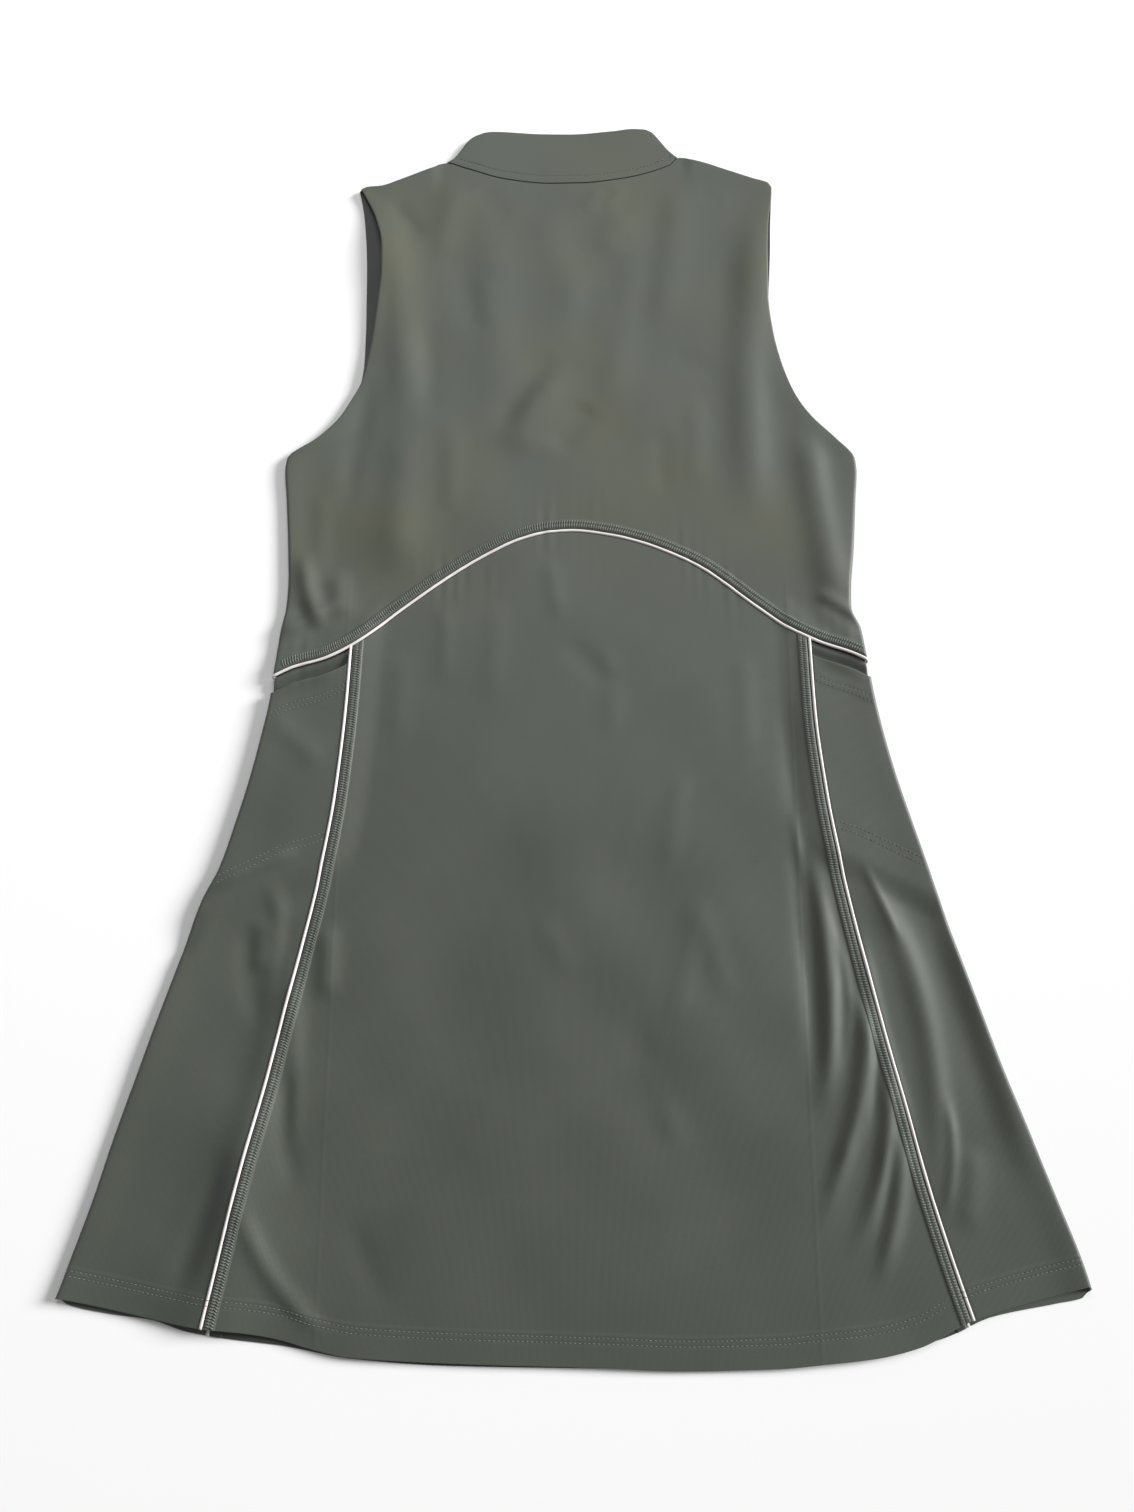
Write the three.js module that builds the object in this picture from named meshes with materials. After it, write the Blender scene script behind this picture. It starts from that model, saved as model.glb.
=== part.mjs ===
import * as THREE from 'three';

// A sleeveless dress with a stand collar and corded seams, laid flat with its back up.
// Millimetres: +X to the right, +Y towards the collar, +Z up. The origin is on the surface that the
// dress lies on, under the middle of its outline.

// Cloth
const WALL = 1.0;
const SEAM_GAP = 0.3;
const SIDE_SEAM_GAP = 0.4;
const LAYER_GAP = 0.3;
const STACK = WALL + LAYER_GAP + WALL;

// How the back lies on the front
const AIR = 1.4;
const EDGE_RADIUS = 2.7;
const EDGE_LIFT = 1.9;
const EDGE_WIDTH = 16;
const POCKET_LIFT = 3.2;
const POCKET_GAP = 0.6;
const CONTACT_SOFTNESS = 0.8;

// Piping in the seams
const PIPING_RADIUS = 1.1;
const PIPING_SINK = 0.15;
const PIPING_SIDES = 6;
const SEAM_INSET = PIPING_RADIUS + SEAM_GAP;
const PIPING_END_GAP = 1.0;
const FRONT_BODICE_INSET = SEAM_INSET + 0.25;

// Cut of the hidden front
const FRONT_NECK_DROP = 38;
const FRONT_WAIST_RISE = 16;
const FRONT_SEAM_SHIFT = 4;
const DROP_SHARPNESS = 2.4;

// Pockets
const POCKET_MOUTH_DROP = 13;
const POCKET_DEPTH = 136;
const POCKET_SPREAD = 26;
const POCKET_SLOPE = 22;
const POCKET_TAUTNESS = 0.45;

const QUARTER = Math.PI / 2;
const OPEN_EDGE_CURL = 0.42;
const SEAM_CURL = 0.3;
const SHOULDER_START = 12;
const UNDERARM = 160;
const UNDERARM_LENGTH = 22;

// The outline below the armholes, at each height y.
const TRUNK = [
  { y: -431, left: -340.4, right: 341.6 },
  { y: -425, left: -338.4, right: 340.4 },
  { y: -408, left: -333.3, right: 336.1 },
  { y: -370, left: -321.7, right: 323.3 },
  { y: -332, left: -311.9, right: 310.2 },
  { y: -293, left: -300.4, right: 296.8 },
  { y: -253, left: -288.7, right: 284.4 },
  { y: -212, left: -276.0, right: 271.8 },
  { y: -170, left: -263.0, right: 259.6 },
  { y: -158, left: -257.2, right: 256.2 },
  { y: -149, left: -253.2, right: 253.8 },
  { y: -113, left: -243.0, right: 243.7 },
  { y: -83, left: -235.5, right: 235.6 },
  { y: -53, left: -229.5, right: 228.8 },
  { y: -23, left: -224.4, right: 223.4 },
  { y: 0, left: -222.6, right: 220.4 },
  { y: 16, left: -221.1, right: 218.4 },
  { y: 32, left: -219.4, right: 216.3 },
  { y: 48, left: -216.6, right: 210.0 },
  { y: 64, left: -216.0, right: 210.7 },
  { y: 96, left: -217.8, right: 214.5 },
  { y: 138, left: -221.4, right: 218.4 },
  { y: 163, left: -223.8, right: 220.7 },
];

// The armhole edges of the back and of the front, at each height y.
const ARMHOLES = [
  { y: 171, backLeft: -222.9, frontLeft: -222.9, backRight: 220.0, frontRight: 220.0 },
  { y: 189, backLeft: -199.6, frontLeft: -199.6, backRight: 205.4, frontRight: 205.4 },
  { y: 206, backLeft: -184.0, frontLeft: -184.0, backRight: 189.0, frontRight: 189.0 },
  { y: 223, backLeft: -174.5, frontLeft: -174.5, backRight: 178.0, frontRight: 178.0 },
  { y: 238, backLeft: -167.5, frontLeft: -168.8, backRight: 171.6, frontRight: 171.9 },
  { y: 259, backLeft: -163.0, frontLeft: -166.6, backRight: 165.4, frontRight: 166.1 },
  { y: 282, backLeft: -159.8, frontLeft: -166.6, backRight: 160.9, frontRight: 162.1 },
  { y: 313, backLeft: -157.0, frontLeft: -167.3, backRight: 158.0, frontRight: 159.2 },
  { y: 336, backLeft: -155.2, frontLeft: -167.9, backRight: 158.5, frontRight: 160.7 },
  { y: 358, backLeft: -155.6, frontLeft: -169.0, backRight: 159.2, frontRight: 162.3 },
  { y: 386, backLeft: -161.8, frontLeft: -171.6, backRight: 161.3, frontRight: 163.6 },
  { y: 403, backLeft: -168.8, frontLeft: -174.2, backRight: 164.1, frontRight: 164.9 },
  { y: 419, backLeft: -177.3, frontLeft: -177.9, backRight: 165.5, frontRight: 165.8 },
];

// The top of the back bodice from shoulder to shoulder, with the neck seam between the two corners.
const NECK_LEFT = -106;
const NECK_RIGHT = 88.5;
const SHOULDERS_AND_NECK = [
  { x: -178.0, y: 414.5 },
  { x: -170.0, y: 418.9 },
  { x: -159.3, y: 420.0 },
  { x: -144.4, y: 425.7 },
  { x: -119.0, y: 436.6 },
  { x: NECK_LEFT, y: 441.2 },
  { x: -88.0, y: 435.7 },
  { x: -56.8, y: 426.5 },
  { x: -15.4, y: 422.0 },
  { x: 5.2, y: 422.0 },
  { x: 41.9, y: 426.9 },
  { x: 80.3, y: 439.5 },
  { x: NECK_RIGHT, y: 447.4 },
  { x: 105.1, y: 443.8 },
  { x: 128.3, y: 435.2 },
  { x: 151.2, y: 426.5 },
  { x: 162.3, y: 422.6 },
  { x: 166.0, y: 417.0 },
];

// The collar's two slanted fold edges, at each height y, and its top edge.
const COLLAR_LEFT = [
  { y: 441.2, x: -106.0 },
  { y: 446.4, x: -99.5 },
  { y: 454.6, x: -93.6 },
  { y: 461.6, x: -89.4 },
  { y: 467.2, x: -83.9 },
  { y: 470.6, x: -76.7 },
];
const COLLAR_RIGHT = [
  { y: 447.4, x: 88.5 },
  { y: 454.9, x: 80.6 },
  { y: 465.3, x: 72.8 },
  { y: 472.0, x: 67.3 },
  { y: 474.4, x: 62.5 },
];
const COLLAR_TOP = [
  { x: -77.0, y: 470.6 },
  { x: -65.5, y: 472.3 },
  { x: -25.2, y: 470.6 },
  { x: -2.7, y: 470.6 },
  { x: 32.7, y: 473.2 },
  { x: 50.0, y: 475.2 },
  { x: 63.4, y: 474.4 },
];

// The arched waist seam of the back, from side to side.
const ARCH = [
  { x: -223.0, y: -6.6 },
  { x: -207.2, y: 1.1 },
  { x: -185.2, y: 7.8 },
  { x: -163.3, y: 19.5 },
  { x: -130.5, y: 46.4 },
  { x: -86.0, y: 79.4 },
  { x: -63.4, y: 93.0 },
  { x: -40.6, y: 104.0 },
  { x: -17.6, y: 110.2 },
  { x: 0.0, y: 111.4 },
  { x: 28.4, y: 107.9 },
  { x: 51.3, y: 102.0 },
  { x: 74.1, y: 93.0 },
  { x: 96.7, y: 81.5 },
  { x: 141.1, y: 47.6 },
  { x: 162.9, y: 31.6 },
  { x: 184.9, y: 20.6 },
  { x: 207.0, y: 12.6 },
  { x: 221.0, y: 5.6 },
];

// The two vertical seams of the back skirt, at each height y.
const BACK_SEAMS = [
  { y: -448, left: -242.6, right: 262.4 },
  { y: -414, left: -235.6, right: 252.0 },
  { y: -365, left: -225.7, right: 238.6 },
  { y: -313, left: -214.2, right: 226.3 },
  { y: -261, left: -203.0, right: 214.4 },
  { y: -206, left: -191.5, right: 202.7 },
  { y: -150, left: -180.6, right: 191.8 },
  { y: -92, left: -172.3, right: 183.1 },
  { y: -31, left: -167.7, right: 177.8 },
  { y: 22, left: -165.6, right: 176.5 },
];

// The hem edges of the back and of the front.
const BACK_HEM = [
  { x: -340.0, y: -431.0 },
  { x: -305.7, y: -438.0 },
  { x: -254.8, y: -447.6 },
  { x: -217.0, y: -452.3 },
  { x: -191.8, y: -456.8 },
  { x: -172.8, y: -461.9 },
  { x: -145.4, y: -467.2 },
  { x: -80.4, y: -470.7 },
  { x: 18.8, y: -473.4 },
  { x: 74.0, y: -475.4 },
  { x: 131.5, y: -474.0 },
  { x: 166.0, y: -471.0 },
  { x: 198.0, y: -467.6 },
  { x: 225.0, y: -461.6 },
  { x: 261.4, y: -445.0 },
  { x: 301.9, y: -433.4 },
  { x: 342.0, y: -423.4 },
];
const FRONT_HEM = [
  { x: -340.0, y: -431.6 },
  { x: -333.6, y: -436.0 },
  { x: -305.5, y: -441.6 },
  { x: -277.6, y: -445.4 },
  { x: -254.5, y: -452.3 },
  { x: -229.2, y: -456.4 },
  { x: -191.6, y: -460.6 },
  { x: -145.4, y: -468.6 },
  { x: -80.4, y: -472.8 },
  { x: 18.8, y: -474.4 },
  { x: 74.0, y: -475.2 },
  { x: 131.5, y: -473.6 },
  { x: 198.0, y: -467.0 },
  { x: 242.0, y: -456.5 },
  { x: 274.6, y: -443.6 },
  { x: 319.2, y: -435.2 },
  { x: 335.0, y: -432.2 },
  { x: 342.0, y: -424.4 },
];

// Folds of the back layer: each runs from one point past another to a third, with a half width and a
// height, positive for a ridge and negative for a trough.
const FOLDS = [
  { from: [-166, 412], past: [-134, 330], to: [-130, 190], width: 17, height: 4.2 },
  { from: [-130, 220], past: [-134, 130], to: [-133, 66], width: 17, height: 2.4 },
  { from: [-170, 404], past: [-148, 340], to: [-164, 262], width: 8, height: 1.6 },
  { from: [-151, 403], past: [-140, 388], to: [-122, 368], width: 8, height: -1.4 },
  { from: [-91, 425], past: [-107, 388], to: [-106, 344], width: 12, height: 1.3 },
  { from: [-78, 420], past: [-66, 404], to: [-52, 384], width: 9, height: -0.6 },
  { from: [-94, 362], past: [-90, 310], to: [-70, 278], width: 12, height: -0.7 },
  { from: [-70, 338], past: [-72, 310], to: [-66, 282], width: 11, height: 0.8 },
  { from: [2, 256], past: [-42, 214], to: [-45, 166], width: 14, height: 1.8 },
  { from: [-12, 266], past: [-40, 238], to: [-62, 190], width: 12, height: -1.6 },
  { from: [16, 220], past: [0, 200], to: [-16, 176], width: 10, height: -1.6 },
  { from: [24, 417], past: [18, 406], to: [8, 392], width: 8, height: 0.6 },
  { from: [43, 419], past: [36, 408], to: [24, 396], width: 8, height: 0.6 },
  { from: [44, 398], past: [34, 376], to: [24, 350], width: 13, height: 1.1 },
  { from: [69, 424], past: [66, 350], to: [46, 270], width: 12, height: -0.8 },
  { from: [83, 428], past: [94, 360], to: [58, 262], width: 14, height: 1.4 },
  { from: [74, 262], past: [96, 254], to: [120, 240], width: 9, height: -0.5 },
  { from: [156, 425], past: [132, 250], to: [140, 105], width: 16, height: 4.4 },
  { from: [178, 218], past: [190, 136], to: [199, 23], width: 13, height: 4.0 },
  { from: [176, 48], past: [198, 38], to: [214, 22], width: 8, height: 1.8 },
  { from: [-214, 56], past: [-200, 38], to: [-180, 24], width: 8, height: -1.4 },
  { from: [-181, 80], past: [-176, 60], to: [-173, 36], width: 9, height: 1.8 },
  { from: [159, -126], past: [168, -200], to: [168, -306], width: 8, height: -2.4 },
  { from: [168, -128], past: [189, -246], to: [167, -320], width: 8, height: 3.1 },
  { from: [194, -230], past: [218, -275], to: [160, -396], width: 8, height: 3.5 },
  { from: [208, -274], past: [228, -337], to: [179, -409], width: 8, height: 2.8 },
  { from: [217, -320], past: [230, -367], to: [196, -429], width: 8, height: 2.4 },
  { from: [197, -135], past: [263, -230], to: [243, -380], width: 9, height: 2.3 },
  { from: [258, -157], past: [284, -257], to: [312, -371], width: 11, height: 2.5 },
  { from: [201, -185], past: [208, -249], to: [234, -358], width: 8, height: 1.5 },
  { from: [246, -158], past: [266, -234], to: [296, -330], width: 14, height: -1.4 },
  { from: [-225, -36], past: [-204, -52], to: [-176, -80], width: 9, height: 1.6 },
  { from: [-262, -166], past: [-223, -147], to: [-193, -134], width: 8, height: 3.2 },
  { from: [-216, -180], past: [-220, -204], to: [-218, -226], width: 9, height: 1.6 },
  { from: [-174, -184], past: [-171, -214], to: [-173, -244], width: 8, height: 2.4 },
  { from: [-199, -209], past: [-187, -287], to: [-192, -365], width: 8, height: 1.4 },
  { from: [-196, -276], past: [-198, -326], to: [-186, -370], width: 8, height: -1.8 },
  { from: [-224, -365], past: [-208, -424], to: [-156, -456], width: 8, height: 2.4 },
  { from: [-234, -336], past: [-246, -392], to: [-267, -436], width: 9, height: -1.8 },
  { from: [253, -300], past: [262, -348], to: [244, -387], width: 8, height: 1.3 },
  { from: [-185, -175], past: [-213, -294], to: [-240, -439], width: 13, height: 2.8 },
  { from: [-222, -150], past: [-194, -193], to: [-216, -247], width: 8, height: 1.6 },
  { from: [270, -334], past: [268, -362], to: [260, -396], width: 9, height: 1.2 },
  { from: [-206, 99], past: [-202, 52], to: [-184, 23], width: 8, height: 2.8 },
  { from: [-224, 28], past: [-204, 33], to: [-172, 55], width: 8, height: 1.9 },
  { from: [181, 61], past: [199, 53], to: [222, 33], width: 8, height: 1.8 },
  { from: [-210, -290], past: [-226, -383], to: [-247, -500], width: 28, height: 5.0 },
  { from: [-27, 406], past: [-12, 353], to: [10, 285], width: 16, height: 1.3 },
  { from: [-85, 396], past: [-38, 315], to: [-73, 222], width: 15, height: 1.2 },
  { from: [55, 377], past: [46, 278], to: [21, 205], width: 13, height: 1.2 },
];
const FOLD_STEPS = 10;
const FOLD_FADE = 0.3;

// Grid stations along each panel: how many steps it has up to each part of its breadth or length.
const WAIST_STEPS = [{ to: 0.22, count: 9 }, { to: 0.7, count: 13 }, { to: 1, count: 12 }];
const BODICE_ROWS = [{ to: 1, count: 19 }];
const SKIRT_ROWS = [{ to: 1, count: 21 }];
const SIDE_COLUMNS = [{ to: 1, count: 9 }];
const SIDE_ROWS = [{ to: 0.06, count: 1 }, { to: 0.36, count: 10 }, { to: 1, count: 12 }];
const BACKING_ROWS = [{ to: 1, count: 10 }];
const FRONT_STEPS = [{ to: 1, count: 14 }];
const FRONT_ROWS = [{ to: 1, count: 7 }];
const FRONT_SKIRT_ROWS = 19;
const BACK_PIPING_STEPS = 21;
const COLLAR_ROWS = [{ to: 1, count: 4 }];
const LOWER_SIDE_COLUMNS = [{ to: 1, count: 3 }];
const NARROWEST_SHARE = 0.008;
const MEETING_ROUNDS = 12;
const ROLL_STEPS = 3;
const ARC_STEPS = 6;

const lerp = (a, b, t) => a + (b - a) * t;
const clamp = (t, low, high) => Math.min(Math.max(t, low), high);
const smooth = (t) => {
  const s = clamp(t, 0, 1);
  return s * s * (3 - 2 * s);
};

// A smooth curve through the rows of a table, with no overshoot between them, straight beyond them.
function through(table, from, to) {
  const rows = [...table].sort((a, b) => a[from] - b[from]);
  const last = rows.length - 1;
  const at = rows.map((row) => row[from]);
  const value = rows.map((row) => row[to]);
  const slope = at.slice(1).map((next, i) => (value[i + 1] - value[i]) / (next - at[i]));
  const tangent = value.map((_, i) => {
    if (i === 0) return slope[0];
    if (i === last) return slope[last - 1];
    const agree = slope[i - 1] * slope[i] > 0;
    return agree ? (2 * slope[i - 1] * slope[i]) / (slope[i - 1] + slope[i]) : 0;
  });
  return (x) => {
    if (x <= at[0]) return value[0] + tangent[0] * (x - at[0]);
    if (x >= at[last]) return value[last] + tangent[last] * (x - at[last]);
    const i = at.findIndex((next) => x < next) - 1;
    const step = at[i + 1] - at[i];
    const t = (x - at[i]) / step;
    const bend = step * t * (1 - t) * ((1 - t) * (tangent[i] - slope[i]) - t * (tangent[i + 1] - slope[i]));
    return lerp(value[i], value[i + 1], t) + bend;
  };
}

// A curve moved sideways by a distance, positive towards larger values.
function moved(curve, distance) {
  return (x) => {
    const slope = curve(x + 0.5) - curve(x - 0.5);
    return curve(x) + distance * Math.min(Math.hypot(1, slope), 2);
  };
}

const edge = (trunk, armhole) => through([
  ...TRUNK.map((row) => ({ y: row.y, x: row[trunk] })),
  ...ARMHOLES.map((row) => ({ y: row.y, x: row[armhole] })),
], 'y', 'x');
const backLeft = edge('left', 'backLeft');
const backRight = edge('right', 'backRight');
const frontLeft = edge('left', 'frontLeft');
const frontRight = edge('right', 'frontRight');
const arch = through(ARCH, 'x', 'y');
const backSeamLeft = through(BACK_SEAMS, 'y', 'left');
const backSeamRight = through(BACK_SEAMS, 'y', 'right');
const frontSeamLeft = (y) => backSeamLeft(y) + FRONT_SEAM_SHIFT;
const frontSeamRight = (y) => backSeamRight(y) - FRONT_SEAM_SHIFT;
const backHem = through(BACK_HEM, 'x', 'y');
const frontHem = through(FRONT_HEM, 'x', 'y');
const backTop = through(SHOULDERS_AND_NECK, 'x', 'y');
const collarTop = through(COLLAR_TOP, 'x', 'y');
const collarSide = (table) => {
  const curve = through(table, 'y', 'x');
  return (y) => curve(Math.max(y, table[0].y));
};
const collarLeft = collarSide(COLLAR_LEFT);
const collarRight = collarSide(COLLAR_RIGHT);

// How far the front of the neck lies below the back of it, across its breadth.
const neckDrop = (share) => FRONT_NECK_DROP * (1 - Math.abs(clamp(2 * share - 1, -1, 1)) ** DROP_SHARPNESS);
const neckShare = (x) => (x - NECK_LEFT) / (NECK_RIGHT - NECK_LEFT);
const frontTop = (x) => backTop(x) - neckDrop(neckShare(x));

// The front waist seam is a low arch between the same two side points.
const WAIST_LEFT = ARCH[0];
const WAIST_RIGHT = ARCH[ARCH.length - 1];
const frontWaist = (x) => {
  const share = (x - WAIST_LEFT.x) / (WAIST_RIGHT.x - WAIST_LEFT.x);
  const arc = Math.sin(Math.PI * clamp(share, 0, 1));
  return lerp(WAIST_LEFT.y, WAIST_RIGHT.y, share) + FRONT_WAIST_RISE * arc;
};

// Points along a fold's bent line.
const foldLines = FOLDS.map((fold) => {
  const curve = new THREE.QuadraticBezierCurve(
    new THREE.Vector2(...fold.from),
    new THREE.Vector2(...fold.past),
    new THREE.Vector2(...fold.to),
  );
  return { ...fold, points: curve.getPoints(FOLD_STEPS) };
});

// The lift of one fold at a point. It fades out with the distance from its line and towards both ends.
function foldLift(fold, x, y) {
  let nearest = Infinity;
  let along = 0;
  for (let i = 0; i < FOLD_STEPS; i += 1) {
    const a = fold.points[i];
    const b = fold.points[i + 1];
    const dx = b.x - a.x;
    const dy = b.y - a.y;
    const t = clamp(((x - a.x) * dx + (y - a.y) * dy) / (dx * dx + dy * dy), 0, 1);
    const distance = Math.hypot(x - a.x - t * dx, y - a.y - t * dy);
    if (distance < nearest) {
      nearest = distance;
      along = (i + t) / FOLD_STEPS;
    }
  }
  const fade = smooth(along / FOLD_FADE) * smooth((1 - along) / FOLD_FADE);
  return fold.height * fade * Math.exp(-((nearest / fold.width) ** 2));
}

// 1 over the pocket of one side, 0 well away from it.
function pocketZone(x, y) {
  const inner = x < 0 ? backSeamLeft(y) - x : x - backSeamRight(y);
  const across = smooth((inner + POCKET_SPREAD) / POCKET_SLOPE);
  const above = smooth((arch(x) + POCKET_SPREAD - y) / POCKET_SLOPE);
  const below = smooth((y - arch(x) + POCKET_DEPTH + POCKET_SPREAD + POCKET_MOUTH_DROP) / POCKET_SLOPE);
  return across * above * below;
}

// 0 along the neck, 1 along the shoulders.
function shoulderShare(x) {
  const fromNeck = Math.max(NECK_LEFT - x, x - NECK_RIGHT);
  return smooth((fromNeck - 1) / SHOULDER_START);
}

// Height of the back layer's upper face.
function backHeight(x, y) {
  const toSide = Math.min(x - backLeft(y), backRight(y) - x);
  const sideLift = EDGE_LIFT * Math.exp(-((Math.max(toSide, 0) / EDGE_WIDTH) ** 2));
  const toShoulder = Math.max(backTop(x) - y, 0);
  const shoulderLift = EDGE_LIFT * shoulderShare(x) * Math.exp(-((toShoulder / EDGE_WIDTH) ** 2));
  const folds = foldLines.reduce((sum, fold) => sum + foldLift(fold, x, y), 0);
  const lift = AIR + Math.max(sideLift, shoulderLift) + folds;
  const resting = (lift + Math.hypot(lift, CONTACT_SOFTNESS)) / 2;
  const pocket = pocketZone(x, y);
  return STACK + POCKET_LIFT * pocket + resting * (1 - POCKET_TAUTNESS * pocket);
}

// Fractions from 0 to 1 for a list of spans.
function stations(spans) {
  const list = [0];
  let start = 0;
  for (const { to, count } of spans) {
    for (let i = 1; i <= count; i += 1) list.push(lerp(start, to, i / count));
    start = to;
  }
  return list;
}

// Shares of a breadth between two side curves at which a curve passes over given places.
function sharesAt(places, left, right, curve) {
  const inside = places.map((x) => {
    const y = curve(x);
    return (x - left(y)) / (right(y) - left(y));
  }).filter((share) => share > NARROWEST_SHARE && share < 1 - NARROWEST_SHARE);
  return [0, ...inside, 1];
}

// Stations across a panel that curls over at its first and last edges.
function curledStations(shares, first, last) {
  const list = shares.map((share) => ({ share, curl: 0 }));
  if (first) {
    for (let i = 1; i <= ROLL_STEPS; i += 1) list.unshift({ share: 0, curl: -i / ROLL_STEPS });
  }
  if (last) {
    for (let i = 1; i <= ROLL_STEPS; i += 1) list.push({ share: 1, curl: i / ROLL_STEPS });
  }
  return list;
}

// The direction of a grid line at one of its points, from the parabola through three points.
function tangent(points, i, ring) {
  const count = points.length;
  const at = (k) => points[(k + count) % count];
  const leg = (a, b) => new THREE.Vector3().subVectors(b, a);
  if (ring || (i > 0 && i < count - 1)) {
    const before = leg(at(i - 1), at(i));
    const after = leg(at(i), at(i + 1));
    return before.multiplyScalar(after.lengthSq()).addScaledVector(after, leg(at(i - 1), at(i)).lengthSq());
  }
  const inwards = i === 0 ? 1 : -1;
  const near = leg(at(i), at(i + inwards));
  const far = leg(at(i), at(i + 2 * inwards));
  const nearLength = near.length();
  const farLength = nearLength + leg(at(i + inwards), at(i + 2 * inwards)).length();
  near.multiplyScalar(farLength ** 2).addScaledVector(far, -(nearLength ** 2));
  return near.multiplyScalar(inwards);
}

// A closed wall from a grid of points on its outer face, whose given column faces up or down.
function wall(grid, { faceUp, column, ring = false }) {
  const columns = grid.length;
  const rows = grid[0].length;
  const wrap = (i) => (ring ? (i + columns) % columns : clamp(i, 0, columns - 1));
  const lines = grid[0].map((_, j) => grid.map((points) => points[j]));
  const normals = grid.map((points, i) => points.map((_, j) => (
    tangent(lines[j], i, ring).cross(tangent(points, j, false)).normalize()
  )));
  const turned = (normals[column][Math.floor(rows / 2)].z > 0) === faceUp ? 1 : -1;
  const positions = [];
  for (const offset of [0, -WALL * turned]) {
    grid.forEach((points, i) => points.forEach((point, j) => {
      positions.push(...point.clone().addScaledVector(normals[i][j], offset).toArray());
    }));
  }
  const outer = (i, j) => wrap(i) * rows + j;
  const inner = (i, j) => columns * rows + outer(i, j);
  const index = [];
  const face = (a, b, c, d) => {
    if (turned > 0) index.push(a, b, c, a, c, d);
    else index.push(a, c, b, a, d, c);
  };
  const steps = ring ? columns : columns - 1;
  for (let i = 0; i < steps; i += 1) {
    for (let j = 0; j < rows - 1; j += 1) {
      face(outer(i, j), outer(i + 1, j), outer(i + 1, j + 1), outer(i, j + 1));
      face(inner(i, j + 1), inner(i + 1, j + 1), inner(i + 1, j), inner(i, j));
    }
    face(inner(i, 0), inner(i + 1, 0), outer(i + 1, 0), outer(i, 0));
    face(outer(i, rows - 1), outer(i + 1, rows - 1), inner(i + 1, rows - 1), inner(i, rows - 1));
  }
  if (!ring) {
    for (let j = 0; j < rows - 1; j += 1) {
      face(outer(0, j), outer(0, j + 1), inner(0, j + 1), inner(0, j));
      face(inner(steps, j), inner(steps, j + 1), outer(steps, j + 1), outer(steps, j));
    }
  }
  const geometry = new THREE.BufferGeometry();
  geometry.setAttribute('position', new THREE.Float32BufferAttribute(positions, 3));
  geometry.setIndex(index);
  return geometry;
}

// Where a column at a share of the breadth meets the curve that bounds it above or below.
function meet(curve, left, right, share) {
  let y = curve(lerp(left(0), right(0), share));
  for (let i = 0; i < MEETING_ROUNDS; i += 1) y = curve(lerp(left(y), right(y), share));
  return y;
}

// A panel of one layer between two side curves and a lower and an upper curve. Each curl gives the
// angle through which that border turns over towards the other layer.
function layerPanel({ left, right, bottom, top, columns, rows, back, curls }) {
  const none = () => 0;
  const { left: curlLeft = none, right: curlRight = none, top: curlTop = none } = curls;
  const across = curledStations(columns, curls.left, curls.right);
  const upwards = curledStations(stations(rows), false, curls.top);
  const inset = (angle, turned) => EDGE_RADIUS * (Math.sin(angle) - Math.sin(turned * angle));
  const grid = across.map(({ share, curl }) => {
    const leftLine = (y) => left(y) + inset(curlLeft(y), Math.max(-curl, 0));
    const rightLine = (y) => right(y) - inset(curlRight(y), Math.max(curl, 0));
    const yBottom = meet(bottom, leftLine, rightLine, share);
    const yTop = meet(top, leftLine, rightLine, share);
    const topAngle = curlTop(lerp(leftLine(yTop), rightLine(yTop), share));
    return upwards.map((row) => {
      const beta = row.curl * topAngle;
      const y = lerp(yBottom, yTop - inset(topAngle, row.curl), row.share);
      const x = lerp(leftLine(y), rightLine(y), share);
      const alpha = curl < 0 ? -curl * curlLeft(y) : curl * curlRight(y);
      const turn = 1 - Math.cos(alpha) * Math.cos(beta);
      if (!back) return new THREE.Vector3(x, y, (EDGE_RADIUS - SIDE_SEAM_GAP / 2) * turn);
      const height = backHeight(x, y);
      return new THREE.Vector3(x, y, height - (height - EDGE_RADIUS - SIDE_SEAM_GAP / 2) * turn);
    });
  });
  return wall(grid, { faceUp: back, column: Math.floor(grid.length / 2) });
}

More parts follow.
